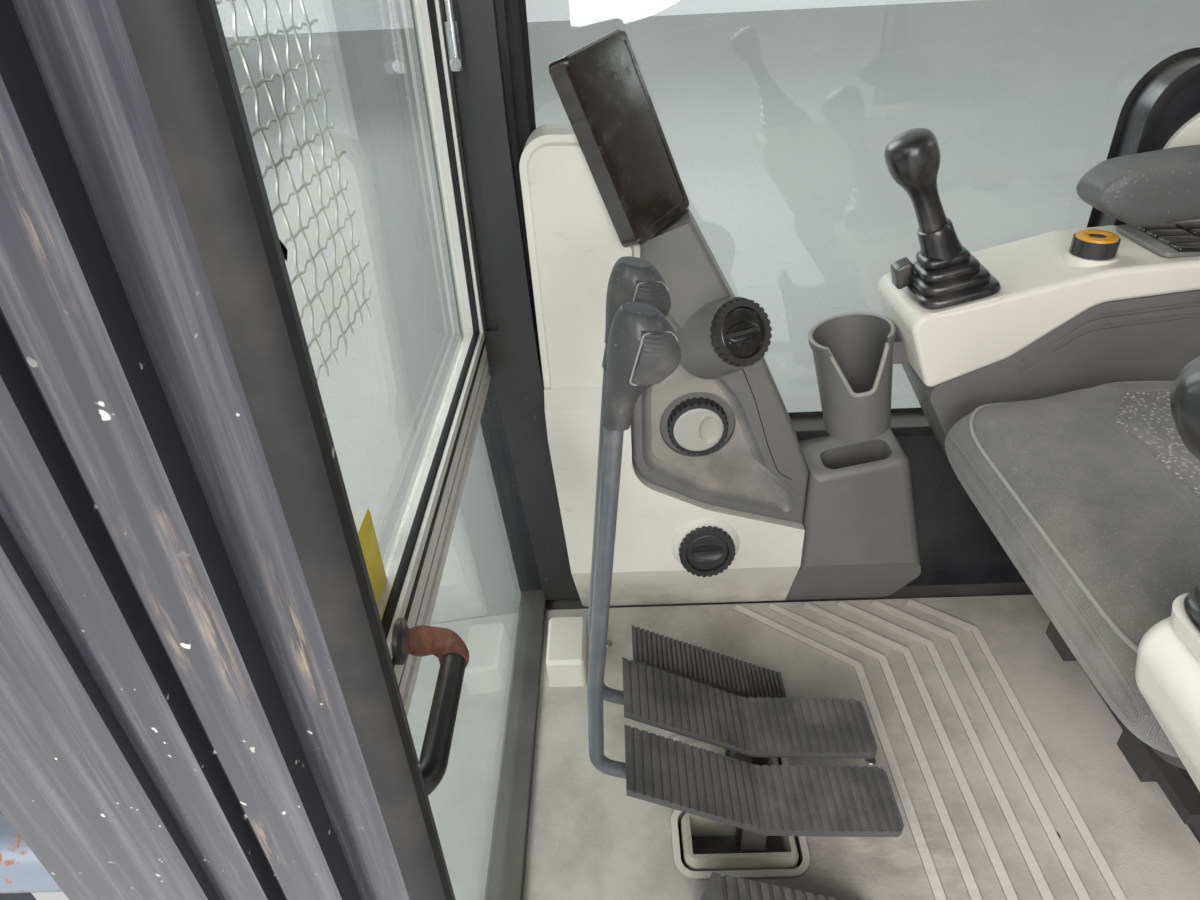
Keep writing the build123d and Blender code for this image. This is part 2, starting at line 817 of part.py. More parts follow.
toe_recess = [
    (lower_face - 73, floor_top - 10),
    (lower_face + 22, floor_top - 10),
    (lower_face + 22, floor_top + 140),
    (lower_face, floor_top + 140),
]

# Air vents: one on a raised boss, one in a round dish, one on a low boss of the lower shell
ring_radius = 44
ring_length = 12
boss_radius = ring_radius + 3
dish_radius = 56
dish_depth = 6
top_vent = Plane(
    origin=(core_face + 27, console_front + 270, floor_top + 565),
    x_dir=(-0.42, 0.80, 0),
    z_dir=(0.80, 0.42, 0.42),
)
middle_vent = Plane(
    origin=(core_face - panel_depth - dish_depth, console_front + 224, floor_top + 400),
    x_dir=(0, 1, 0),
    z_dir=(1, 0, 0),
)
low_vent = Plane(
    origin=(lower_face + 12, console_front + 239, floor_top + 192),
    x_dir=(-0.06, 1, 0),
    z_dir=(1, 0.06, 0.12),
)
low_vent_foot = Plane(origin=(lower_face - 2, low_vent.origin.Y, low_vent.origin.Z), x_dir=(0, 1, 0), z_dir=(1, 0, 0))

# Light shell of the console: one skin with a raised middle above and a prouder, recessed foot below
border_width = 9
border_depth = 7
lower_slant = 22
with BuildPart() as console_shell:
    with BuildSketch(Plane.YZ.offset(console_wall)):
        with BuildLine():
            rounded_line(placed(shell_rows, console_front, floor_top))
        make_face()
    extrude(amount=upper_face - border_depth - console_wall)
    with BuildSketch(Plane.YZ.offset(upper_face - border_depth)):
        with BuildLine():
            rounded_line(placed(raised_rows, console_front, floor_top))
        make_face()
        offset(amount=-border_width, mode=Mode.REPLACE)
    extrude(amount=border_depth, taper=20)
    with BuildSketch(Plane.YZ.offset(upper_face - border_depth)):
        with BuildLine():
            rounded_line(placed(lower_rows, console_front, floor_top))
        make_face()
    extrude(amount=lower_face - upper_face + border_depth)
    lower_edges = console_shell.faces().sort_by(Axis.X)[-1].edges()
    chamfer(lower_edges.filter_by(Axis.Y).sort_by(Axis.Z)[-1], lower_slant)
    with BuildSketch(Plane.XZ.offset(-console_front - console_length - 1)):
        with BuildLine():
            Polyline(*toe_recess, close=True)
        make_face()
    extrude(amount=console_length + 40, mode=Mode.SUBTRACT)
    with BuildSketch(low_vent_foot):
        Circle(boss_radius + 9)
    with BuildSketch(low_vent):
        Circle(boss_radius)
    loft()
console_shell.part.label = "console_shell"
export_step(console_shell.part, "parts/console_shell.step")

# Monitor on the console's top, turned to the operator, with its screen let into the front
monitor_depth = 30
monitor_width = 118
monitor_height = 228
monitor_plane = Plane(
    origin=(console_wall + 73, console_front + 138, floor_top + 805),
    x_dir=(-0.78, 0.60, 0.17),
    z_dir=(0.617, 0.710, 0.324),
)
with BuildPart() as monitor:
    with BuildSketch(monitor_plane.offset(-monitor_depth)):
        RectangleRounded(monitor_width, monitor_height, 10)
    extrude(amount=monitor_depth - 4)
    with BuildSketch(monitor_plane.offset(-4)):
        RectangleRounded(monitor_width, monitor_height, 10)
    extrude(amount=4, taper=35)
    with BuildSketch(monitor_plane):
        RectangleRounded(monitor_width - 16, monitor_height - 26, 5)
    extrude(amount=-1.5, mode=Mode.SUBTRACT)
monitor.part.label = "monitor"
export_step(monitor.part, "parts/monitor.step")

# Middle of the console: a spine from the monitor to the tray, with a sunk panel round the middle vent
core_rounding = 7
with BuildPart() as console_core:
    with BuildSketch(Plane.YZ.offset(console_wall)):
        with BuildLine():
            rounded_line(placed(core_rows, console_front, floor_top))
        make_face()
    extrude(amount=core_face - console_wall)
    fillet(console_core.faces().sort_by(Axis.X)[-1].edges(), core_rounding)
    with BuildSketch(Plane.YZ.offset(core_face)):
        with BuildLine():
            rounded_line(placed(panel_rows, console_front, floor_top))
        make_face()
    extrude(amount=-panel_depth, taper=panel_slant, mode=Mode.SUBTRACT)
    with BuildSketch(middle_vent):
        Circle(dish_radius)
    extrude(amount=panel_depth + dish_depth, mode=Mode.SUBTRACT)
    with BuildSketch(top_vent.offset(-74)):
        Circle(boss_radius + 13)
    with BuildSketch(top_vent):
        Circle(boss_radius)
    loft()
    with BuildSketch(monitor_plane.offset(-monitor_depth)):
        Rectangle(monitor_width + 8, monitor_height + 8)
    extrude(amount=4 * monitor_depth, mode=Mode.SUBTRACT)
console_core.part.label = "console_core"
export_step(console_core.part, "parts/console_core.step")

# The vents' knurled rings, with a slatted disc sunk in each
knurl_count = 28
vent_rings = [
    # plane, length
    (top_vent, ring_length),
    (middle_vent, panel_depth + 5),
    (low_vent, ring_length),
]
with BuildPart() as air_vents:
    for vent_plane, length in vent_rings:
        with BuildSketch(vent_plane):
            Circle(ring_radius)
            with PolarLocations(ring_radius, knurl_count):
                Rectangle(4, 4, mode=Mode.SUBTRACT)
        extrude(amount=length)
        with BuildSketch(vent_plane.offset(length)):
            Circle(ring_radius - 10)
        extrude(amount=-8, mode=Mode.SUBTRACT)
        with BuildSketch(vent_plane.offset(length - 8)):
            with GridLocations(1, 20, 1, 3):
                Rectangle(1.3 * ring_radius, 5)
        extrude(amount=5)
air_vents.part.label = "air_vents"
export_step(air_vents.part, "parts/air_vents.step")

# Tray box behind the console: rolled front edge, stepped foot and an open pocket
tray_front = console_front + console_length + piece_gap
tray_depth = lower_face - console_wall
tray_rounding = 16
tray_rows = [
    (0, 0, 0),
    (tray_length - 28, 0, 20),
    (tray_length, 89, 30),
    (tray_length - 66, 347, 20),
    (0, 317, 0),
]
pocket_x = console_wall + 68
pocket_width = 52
pocket_length = tray_length - 109
pocket_bottom = floor_top + 254
with BuildPart() as cup_tray:
    with BuildSketch(Plane.YZ.offset(console_wall)):
        with BuildLine():
            rounded_line(placed(tray_rows, tray_front, floor_top))
        make_face()
    extrude(amount=tray_depth)
    fillet(cup_tray.faces().sort_by(Axis.X)[-1].edges(), tray_rounding)
    with BuildSketch(Plane.XY.offset(pocket_bottom)):
        with Locations((pocket_x, tray_front + 72)):
            RectangleRounded(pocket_width, pocket_length, 16)
    extrude(amount=106, mode=Mode.SUBTRACT)
    with BuildSketch(Plane.XZ.offset(-tray_rear + 1)):
        with BuildLine():
            Polyline(*toe_recess, close=True)
        make_face()
    extrude(amount=tray_length + 20, mode=Mode.SUBTRACT)
cup_tray.part.label = "cup_tray"
export_step(cup_tray.part, "parts/cup_tray.step")

# Right console, counted from the seat's axis and the mat: grey body with the light cover over it
nose_low = (-197, 485)
nose_high = (-238, 590)
armrest_seat = 655
crest = 644
body_rows = [
    (nose_low[0], nose_low[1] - seam, 20),
    (-99, 526, 30),
    (-5, 598, 60),
    (113, 610, 40),
    (420, 616, 0),
    (420, plate_top - floor_top, 0),
    (170, plate_top - floor_top, 0),
    (120, 200, 80),
    (-74, 265, 60),
]
cover_rows = [
    (nose_low[0], nose_low[1], 10),
    (nose_high[0], nose_high[1], 20),
    (-170, 603, 60),
    (0, crest, 100),
    (182, armrest_seat, 60),
    (420, armrest_seat, 10),
    (420, 616 + seam, 0),
    (113, 610 + seam, 40),
    (-5, 598 + seam, 60),
    (-99, 526 + seam, 30),
]
side_ribs = [
    # drop below the cover's edge
    18,
    34,
]
body_face = console_inner - 6
with BuildPart() as right_console_body:
    with BuildSketch(Plane.YZ.offset(console_wall)):
        with BuildLine():
            rounded_line(placed(body_rows, 0, floor_top))
        make_face()
    extrude(amount=body_face - console_wall)
    for drop in side_ribs:
        rib_rows = [(-80, 540 - drop, 0), (-5, 598 - drop, 60), (113, 610 - drop, 40), (410, 616 - drop, 0)]
        with BuildSketch(Plane.YZ.offset(body_face)):
            with BuildLine():
                rounded_line(placed(rib_rows, 0, floor_top), closed=False)
            trace(line_width=7)
        extrude(amount=-4, mode=Mode.SUBTRACT)
right_console_body.part.label = "right_console_body"
export_step(right_console_body.part, "parts/right_console_body.step")

# Feet of the joysticks: planes that lean forward on the two consoles
foot_width = 98
foot_length = 106
foot_lean = -14
joysticks = [
    # name, x, y, z, lean of the stem
    ("right_joystick", console_wall + 103, -168, floor_top + 606, -25.5),
    ("left_joystick", (left_console_inner + left_console_outer) / 2 - 11, -204, floor_top + 641, -31),
]


def leaning(x, y, z, lean):
    """Plane through a point, its normal leaning to the rear by an angle."""
    return Plane(origin=(x, y, z), x_dir=(1, 0, 0), z_dir=(0, sin(radians(lean)), cos(radians(lean))))


joystick_feet = {name: leaning(x, y, z, foot_lean) for name, x, y, z, lean in joysticks}
cover_rounding = 8
dial_x = console_wall + 103
dial_y = -2
dial_radius = 26
dial_height = floor_top + crest + 4
with BuildPart() as right_console_cover:
    with BuildSketch(Plane.YZ.offset(console_wall)):
        with BuildLine():
            rounded_line(placed(cover_rows, 0, floor_top))
        make_face()
    extrude(amount=console_inner - console_wall)
    fillet(right_console_cover.faces().sort_by(Axis.X)[-1].edges(), cover_rounding)
    with BuildSketch(joystick_feet["right_joystick"]):
        RectangleRounded(foot_width, foot_length, 16)
    extrude(amount=-14)
    with BuildSketch(joystick_feet["right_joystick"]):
        RectangleRounded(foot_width, foot_length, 16)
    extrude(amount=40, mode=Mode.SUBTRACT)
    with BuildSketch(Plane.XY.offset(dial_height - 18)):
        with Locations((dial_x, dial_y)):
            Circle(dial_radius + 4)
    extrude(amount=18)
right_console_cover.part.label = "right_console_cover"
export_step(right_console_cover.part, "parts/right_console_cover.step")

with BuildPart() as control_dial:
    with BuildSketch(Plane.XY.offset(dial_height)):
        with Locations((dial_x, dial_y)):
            Circle(dial_radius)
        with Locations((dial_x, dial_y)):
            with PolarLocations(dial_radius, 12):
                Rectangle(2, 3, mode=Mode.SUBTRACT)
    extrude(amount=20)
    with BuildSketch(Plane.XY.offset(dial_height + 20)):
        with Locations((dial_x, dial_y)):
            Circle(dial_radius - 5)
            Circle(dial_radius - 15, mode=Mode.SUBTRACT)
    extrude(amount=2)
control_dial.part.label = "control_dial"
export_step(control_dial.part, "parts/control_dial.step")

# Bottle holder: a slanted cup with a thick rim and a slot, hung on the right console's nose
holder_height = 154
holder_foot_radius = 47
holder_rim_radius = 56
holder_wall = 4
holder_x = console_wall + holder_rim_radius + 5
holder_plane = leaning(holder_x, nose_low[0] - 54, floor_top + 382, -10.5)
slot_plane = Plane(origin=holder_plane.origin, x_dir=holder_plane.y_dir, z_dir=(1, 0, 0))
slot_low = holder_height / 2
slot_rows = [
    (-42, holder_height + 1, 0),
    (-14, slot_low, 8),
    (14, slot_low, 8),
    (42, holder_height + 1, 0),
]
nose_slope = (nose_high[0] - nose_low[0]) / (nose_high[1] - nose_low[1])
lug_low = nose_low[1] + 6
lug_high = lug_low + 34
with BuildPart() as bottle_holder:
    with BuildSketch(Plane.YZ.offset(holder_x - 22)):
        with BuildLine():
            Polyline(
                (nose_low[0] + nose_slope * (lug_low - nose_low[1]), floor_top + lug_low),
                (nose_low[0] + nose_slope * (lug_high - nose_low[1]), floor_top + lug_high),
                (nose_low[0] - 50, floor_top + lug_high),
                (nose_low[0] - 50, floor_top + lug_low),
                close=True,
            )
        make_face()
    extrude(amount=44)
    with BuildSketch(holder_plane):
        Circle(holder_foot_radius)
    with BuildSketch(holder_plane.offset(holder_height)):
        Circle(holder_rim_radius)
    loft()
    with BuildSketch(holder_plane.offset(holder_height - 10)):
        Circle(holder_rim_radius + 2.5)
    extrude(amount=10)
    with BuildSketch(holder_plane.offset(6)):
        Circle(holder_foot_radius - holder_wall)
    with BuildSketch(holder_plane.offset(holder_height + 1)):
        Circle(holder_rim_radius - holder_wall)
    loft(mode=Mode.SUBTRACT)
    with BuildSketch(slot_plane):
        with BuildLine():
            rounded_line(slot_rows)
        make_face()
    extrude(amount=holder_rim_radius + 10, mode=Mode.SUBTRACT)
bottle_holder.part.label = "bottle_holder"
export_step(bottle_holder.part, "parts/bottle_holder.step")

# Joysticks: rectangular bellows in tapered tiers that lean with the stem, skirt and mushroom knob
tier_count = 4
tier_height = 15
tier_step = 14
bellows_top = tier_count * tier_height
knob_height = bellows_top + 135
knob_radius = 30
knob_rows = [
    # radius, height, rounding
    (0, bellows_top - 8, 0),
    (25, bellows_top - 8, 0),
    (21, bellows_top + 32, 0),
    (16, bellows_top + 37, 0),
    (17, knob_height - 42, 30),
    (knob_radius, knob_height - 12, 0),
    (knob_radius, knob_height + 16, 14),
    (0, knob_height + 22, 0),
]
for name, x, y, z, lean in joysticks:
    foot = joystick_feet[name]
    stem = leaning(x, y, z, lean)
    tier_shift = tier_height * tan(radians(foot_lean - lean))
    with BuildPart() as joystick:
        for i in range(tier_count):
            with BuildSketch(foot.offset(i * tier_height)):
                with Locations((0, -i * tier_shift)):
                    RectangleRounded(foot_width - 6 - i * tier_step, foot_length - 6 - i * tier_step, 14)
            extrude(amount=tier_height, taper=24)
        with BuildSketch(Plane(origin=stem.origin, x_dir=stem.x_dir, z_dir=-stem.y_dir)):
            with BuildLine():
                rounded_line(knob_rows)
            make_face()
        revolve(axis=Axis(stem.origin, stem.z_dir))
    joystick.part.label = name
    export_step(joystick.part, f"parts/{name}.step")

# Seat: riser, slide rails, bellows of the suspension, pan, and the bracket of the left console
riser_half = seat_half - 6
riser_front = mat_rear + 2
riser_rear = rear_wall_front - 60
riser_height = 200
rail_height = 24
cushion_bottom = floor_top + 360
console_pin_y = 300
console_pin_z = floor_top + 420
console_pin = 16
bracket_x = left_console_inner - 30
bracket_width = 22
with BuildPart() as seat_base:
    with BuildSketch(Plane.XY.offset(plate_top)):
        with Locations((0, (riser_front + riser_rear) / 2)):
            RectangleRounded(2 * riser_half, riser_rear - riser_front, 20)
    extrude(amount=riser_height)
    with BuildSketch(Plane.XY.offset(plate_top + riser_height)):
        with Locations((150 - seat_half, 170), (seat_half - 150, 170)):
            Rectangle(50, 420)
    extrude(amount=rail_height)
    with BuildSketch(Plane.XY.offset(plate_top + riser_height + rail_height)):
        with Locations((0, 160)):
            Rectangle(2 * seat_half - 120, 400)
    extrude(amount=16)
    tier_foot = plate_top + riser_height + rail_height + 16
    tier_rise = (cushion_bottom - 12 - tier_foot) / 3
    for i in range(3):
        with BuildSketch(Plane.XY.offset(tier_foot + i * tier_rise)):
            with Locations((0, 160)):
                RectangleRounded(2 * seat_half - 150, 360, 30)
        extrude(amount=tier_rise / 2, taper=-20)
        with BuildSketch(Plane.XY.offset(tier_foot + (i + 0.5) * tier_rise)):
            with Locations((0, 160)):
                RectangleRounded(2 * seat_half - 136, 374, 30)
        extrude(amount=tier_rise / 2, taper=20)
    with BuildSketch(Plane.XY.offset(cushion_bottom - 12)):
        with Locations((0, 130)):
            RectangleRounded(2 * seat_half - 60, 500, 30)
    extrude(amount=12)
    with BuildSketch(Plane.YZ.offset(bracket_x)):
        with BuildLine():
            Polyline(
                (console_pin_y - 60, plate_top),
                (console_pin_y + 70, plate_top),
                (console_pin_y + 34, console_pin_z + 25),
                (console_pin_y - 16, console_pin_z + 25),
                close=True,
            )
        make_face()
    extrude(amount=bracket_width)
    with BuildSketch(Plane.YZ.offset(bracket_x + bracket_width)):
        with Locations((console_pin_y, console_pin_z)):
            Circle(console_pin / 2)
    extrude(amount=left_console_outer - bracket_x - bracket_width)
seat_base.part.label = "seat_base"
export_step(seat_base.part, "parts/seat_base.step")

seam_y = 270
seam_gap = 0.3
cushion_rows = [
    (-186, 400, 30),
    (-186, 492, 40),
    (-60, 518, 60),
    (seam_y, 490, 40),
    (seam_y, 360, 20),
    (-140, 360, 30),
]
back_rows = [
    (seam_y + seam_gap, 360 + seam_gap, 10),
    (seam_y + seam_gap, 500, 30),
    (seam_y - 12, 580, 60),
    (seam_y + 60, 1080, 30),
    (seam_y + 130, 1080, 30),
    (seam_y + 122, 360 + seam_gap, 20),
]
back_half = seat_half - 10
with BuildPart() as seat_cushion:
    with BuildSketch(Plane.YZ.offset(-seat_half)):
        with BuildLine():
            rounded_line(placed(cushion_rows, 0, floor_top))
        make_face()
    extrude(amount=2 * seat_half)
    fillet(seat_cushion.faces().sort_by(Axis.X)[0].edges(), 16)
    fillet(seat_cushion.faces().sort_by(Axis.X)[-1].edges(), 16)
seat_cushion.part.label = "seat_cushion"
export_step(seat_cushion.part, "parts/seat_cushion.step")

with BuildPart() as seat_back:
    with BuildSketch(Plane.YZ.offset(-back_half)):
        with BuildLine():
            rounded_line(placed(back_rows, 0, floor_top))
        make_face()
    extrude(amount=2 * back_half)
seat_back.part.label = "seat_back"
export_step(seat_back.part, "parts/seat_back.step")

# Adjusting levers at the seat's front right corner, standing out from the suspension
lever_root = 60 - seat_half
lever_rows = [
    # y, height above the mat, length
    (-18, 218, 86),
    (22, 218, 74),
]
with BuildPart() as seat_levers:
    for y, rise, length in lever_rows:
        with BuildSketch(Plane.XY.offset(floor_top + rise)):
            with Locations((lever_root - length / 2, y)):
                Rectangle(length, 12)
            with Locations((lever_root - length + 20, y - 4)):
                RectangleRounded(54, 26, 8)
        extrude(amount=10)
seat_levers.part.label = "seat_levers"
export_step(seat_levers.part, "parts/seat_levers.step")

# Left console, hinged at its rear
left_console_rounding = 14
left_armrest_seat = 657
left_console_rows = [
    (-250, 550, 40),
    (-262, 600, 30),
    (-200, 637, 40),
    (100, left_armrest_seat, 60),
    (340, left_armrest_seat, 40),
    (340, 370, 30),
    (-120, 365, 60),
]
with BuildPart() as left_console:
    with BuildSketch(Plane.YZ.offset(left_console_inner)):
        with BuildLine():
            rounded_line(placed(left_console_rows, 0, floor_top))
        make_face()
    extrude(amount=left_console_outer - left_console_inner)
    for face in (left_console.faces().sort_by(Axis.X)[0], left_console.faces().sort_by(Axis.X)[-1]):
        fillet(face.edges(), left_console_rounding)
    with BuildSketch(Plane.YZ.offset(left_console_inner)):
        with Locations((console_pin_y, console_pin_z)):
            Circle(console_pin / 2 + running_clearance)
    extrude(amount=left_console_outer - left_console_inner, mode=Mode.SUBTRACT)
    with BuildSketch(joystick_feet["left_joystick"]):
        RectangleRounded(foot_width, foot_length, 16)
    extrude(amount=-14)
    with BuildSketch(joystick_feet["left_joystick"]):
        RectangleRounded(foot_width, foot_length, 16)
    extrude(amount=40, mode=Mode.SUBTRACT)
left_console.part.label = "left_console"
export_step(left_console.part, "parts/left_console.step")

# Armrests on posts of the two consoles
armrest_half = 36
armrest_rows = [
    (-42, 712, 16),
    (-26, 766, 16),
    (330, 790, 20),
    (330, 722, 16),
    (10, 692, 20),
]
armrests = [
    # name, x, height of the seat of its post
    ("right_armrest", console_inner - 30, armrest_seat),
    ("left_armrest", left_console_inner + 68, left_armrest_seat),
]
for name, x, post_foot in armrests:
    with BuildPart() as armrest:
        with BuildSketch(Plane.YZ.offset(x - armrest_half)):
            with BuildLine():
                rounded_line(placed(armrest_rows, 0, floor_top))
            make_face()
        extrude(amount=2 * armrest_half)
        with BuildSketch(Plane.XY.offset(floor_top + post_foot)):
            with Locations((x, 260)):
                Rectangle(40, 60)
        extrude(amount=90)
    armrest.part.label = name
    export_step(armrest.part, f"parts/{name}.step")

# Valve blocks with the lugs and axles of the two travel pedals
block_height = 34
lug_radius = 15
lug_gap = 28
lug_thickness = 8
with BuildPart() as pedal_pivots:
    for x in (pedal_x, -pedal_x):
        with BuildSketch(Plane.XY.offset(shelf_top)):
            with Locations((x, hole_y)):
                RectangleRounded(hole_width - 4, hole_length - 7, 8)
        extrude(amount=block_height)
        for side in (-1, 1):
            lug_middle = x + side * (lug_gap + lug_thickness) / 2
            with BuildSketch(Plane.YZ.offset(lug_middle - lug_thickness / 2)):
                with Locations((pivot_y, pivot_z)):
                    Circle(lug_radius)
                with Locations((pivot_y, (shelf_top + pivot_z) / 2)):
                    Rectangle(2 * lug_radius, pivot_z - shelf_top)
            extrude(amount=lug_thickness)
        with BuildSketch(Plane.YZ.offset(x - lug_gap / 2 - lug_thickness)):
            with Locations((pivot_y, pivot_z)):
                Circle(axle_diameter / 2)
        extrude(amount=lug_gap + 2 * lug_thickness)
pedal_pivots.part.label = "pedal_pivots"
export_step(pedal_pivots.part, "parts/pedal_pivots.step")

# Bellows boots that stand on the valve blocks and fill the floor holes
boot_tiers = 4
boot_rise = 13.5
boot_wall = 11
with BuildPart() as pedal_boots:
    for x in (pedal_x, -pedal_x):
        for i in range(boot_tiers):
            with BuildSketch(Plane.XY.offset(shelf_top + block_height + i * boot_rise)):
                with Locations((x, hole_y)):
                    RectangleRounded(hole_width - 8, hole_length - 9, 16)
            extrude(amount=boot_rise, taper=20)
        with BuildSketch(Plane.XY.offset(shelf_top + block_height)):
            with Locations((x, hole_y)):
                Rectangle(hole_width - 8 - 2 * boot_wall, hole_length - 9 - 2 * boot_wall)
        extrude(amount=boot_tiers * boot_rise, mode=Mode.SUBTRACT)
pedal_boots.part.label = "pedal_boots"
export_step(pedal_boots.part, "parts/pedal_boots.step")

# Travel pads: the toe part slopes up to the front, the heel part lies nearly level
pad_toe = (pivot_y - 160, pivot_z + 122.5)
pad_bend = (pivot_y + 8, pivot_z + 34)
pad_heel = (pivot_y + 177, pivot_z + 23)
pad_pitch = 12
pad_groove = 4
groove_depth = 2
heel_radius = 12
travel_sides = [
    # side, x
    ("left", pedal_x),
    ("right", -pedal_x),
]
rod_rows = [
    (pivot_y - 130, pivot_z + 93, 0),
    (pivot_y - 195, pivot_z + 118, 30),
    (pivot_y - 191, pivot_z + 252, 60),
    (pivot_y - 157, pivot_z + 608, 60),
    (pivot_y - 149, pivot_z + 650, 0),
]
grip_sections = [
    # height, half width, half length, shift to the rear
    (0, 13, 14, 0),
    (20, 17, 21, 5),
    (44, 23, 30, 11),
    (66, 22, 27, 8),
    (84, 13, 15, 2),
]
for side, x in travel_sides:
    with BuildPart() as travel_lever:
        with BuildSketch(Plane.YZ.offset(x - pedal_width / 4)):
            with BuildLine():
                Polyline(
                    pad_toe,
                    pad_bend,
                    pad_heel,
                    (pad_heel[0] - 2, pad_heel[1] - 6),
                    (pad_bend[0], pad_bend[1] - 6),
                    (pad_toe[0] + 3, pad_toe[1] - 7.5),
                    close=True,
                )
            make_face()
        extrude(amount=pedal_width / 2)
        with BuildSketch(Plane.YZ.offset(x - lug_gap / 2 + 0.3)):
            with Locations((pivot_y, pivot_z)):
                Circle(lug_radius - 1)
            with Locations((pivot_y, (pivot_z + pad_bend[1] - 4) / 2)):
                Rectangle(20, pad_bend[1] - 4 - pivot_z)
        extrude(amount=lug_gap - 0.6)
        with BuildSketch(Plane.YZ.offset(x - lug_gap / 2 + 0.3)):
            with Locations((pivot_y, pivot_z)):
                Circle(axle_diameter / 2 + running_clearance)
        extrude(amount=lug_gap - 0.6, mode=Mode.SUBTRACT)
        with BuildLine(Plane.YZ.offset(x)) as rod_line:
            rounded_line(rod_rows, closed=False)
        with BuildSketch(Plane(origin=rod_line.line @ 0, z_dir=rod_line.line % 0)):
            Circle(rod_diameter / 2)
        sweep(path=rod_line.line)
        grip_foot = Plane(
            origin=(x, pivot_y - 151, pivot_z + 625),
            x_dir=(1, 0, 0),
            z_dir=(0, 0.19, 0.98),
        )
        with BuildSketch(grip_foot.offset(-26)):
            Circle(12.5)
        extrude(amount=30)
        for height, half_across, half_along, shift in grip_sections:
            with BuildSketch(grip_foot.offset(height)):
                with Locations((0, shift)):
                    Ellipse(half_across, half_along)
        loft()
    travel_lever.part.label = f"{side}_travel_lever"
    export_step(travel_lever.part, f"parts/{side}_travel_lever.step")
    with BuildPart() as travel_pad:
        with BuildSketch(Plane.YZ.offset(x - pedal_width / 2)):
            with BuildLine():
                Polyline(
                    pad_toe,
                    pad_bend,
                    pad_heel,
                    *toothed(above(pad_heel), above(pad_bend), pad_pitch, pad_groove, groove_depth),
                    *toothed(above(pad_bend), above(pad_toe), pad_pitch, pad_groove, groove_depth)[1:],
                    close=True,
                )
            make_face()
        extrude(amount=pedal_width)
        heel_edges = travel_pad.edges().filter_by(Axis.Z).group_by(Axis.Y)[-1]
        fillet(heel_edges, heel_radius)
    travel_pad.part.label = f"{side}_travel_pad"
    export_step(travel_pad.part, f"parts/{side}_travel_pad.step")

# Rests beside the pedals: a thin plate on a bracket at the right, a ribbed block at the left
rest_width = 66
rest_thickness = 9
right_rest_x = -158
right_rest_toe = (pivot_y - 145, floor_top + 153)
right_rest_heel = (pivot_y + 84, floor_top + 40)
left_rest_x = 188
left_rest_toe = (pivot_y - 65, floor_top + 106)
left_rest_heel = (pivot_y + 125, floor_top + 25)
with BuildPart() as foot_pads:
    with BuildSketch(Plane.YZ.offset(right_rest_x - rest_width / 2)):
        with BuildLine():
            Polyline(
                *toothed(right_rest_heel, right_rest_toe, 8, 3.5, 3),
                (right_rest_toe[0], right_rest_toe[1] - rest_thickness),
                (right_rest_heel[0], right_rest_heel[1] - rest_thickness),
                close=True,
            )
        make_face()
    extrude(amount=rest_width)
    with BuildSketch(Plane.YZ.offset(right_rest_x - rest_width / 4)):
        with BuildLine():
            Polyline(
                (right_rest_toe[0] + 20, right_rest_toe[1] - 14),
                (right_rest_heel[0] - 30, right_rest_heel[1] + 10),
                (right_rest_heel[0] - 30, floor_top),
                (right_rest_heel[0] - 110, floor_top),
                close=True,
            )
        make_face()
    extrude(amount=rest_width / 2)
    with BuildSketch(Plane.YZ.offset(left_rest_x - rest_width / 2)):
        with BuildLine():
            Polyline(
                *toothed(left_rest_heel, left_rest_toe, 15, 6, 4),
                (left_rest_toe[0] - 22, floor_top),
                (left_rest_heel[0], floor_top),
                close=True,
            )
        make_face()
    extrude(amount=rest_width)
foot_pads.part.label = "foot_pads"
export_step(foot_pads.part, "parts/foot_pads.step")

# Bent tube handle on the windscreen sash
handle_height = waist + 28
handle_reach = 50
handle_ends = (inner_half - 95, inner_half - 235)
handle_rows = [
    (handle_ends[0], sash_rear, 0),
    (handle_ends[0], sash_rear + handle_reach, 24),
    (handle_ends[1], sash_rear + handle_reach, 24),
    (handle_ends[1], sash_rear, 0),
]
with BuildPart() as sash_handle:
    with BuildLine(Plane.XY.offset(handle_height)) as handle_line:
        rounded_line(handle_rows, closed=False)
    with BuildSketch(Plane(origin=handle_line.line @ 0, z_dir=handle_line.line % 0)):
        Circle(10)
    sweep(path=handle_line.line)
sash_handle.part.label = "sash_handle"
export_step(sash_handle.part, "parts/sash_handle.step")

# Small box on the floor in the front right corner
box_width = 104
box_length = 62
with BuildPart() as floor_box:
    with BuildSketch(Plane.XY.offset(floor_top)):
        with Locations((mat_right + 123, base_front + 44)):
            RectangleRounded(box_width, box_length, 8)
    extrude(amount=50)
    with BuildSketch(Plane.XY.offset(floor_top + 50)):
        with Locations((mat_right + 123, base_front + 44)):
            RectangleRounded(box_width, box_length, 8)
    extrude(amount=6, taper=40)
floor_box.part.label = "floor_box"
export_step(floor_box.part, "parts/floor_box.step")
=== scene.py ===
"""Operator's cab of a crawler excavator: its finishes, soft pieces, seals and small parts.

Lengths in the tables are in millimetres of the cab's own frame: X to the cab's
left, Y to its rear, Z up.  Meshes are in metres.
"""
import bmesh
import bpy
import numpy as np
from bpy.props import FloatProperty, FloatVectorProperty, IntProperty, PointerProperty
from mathutils import Matrix, Vector


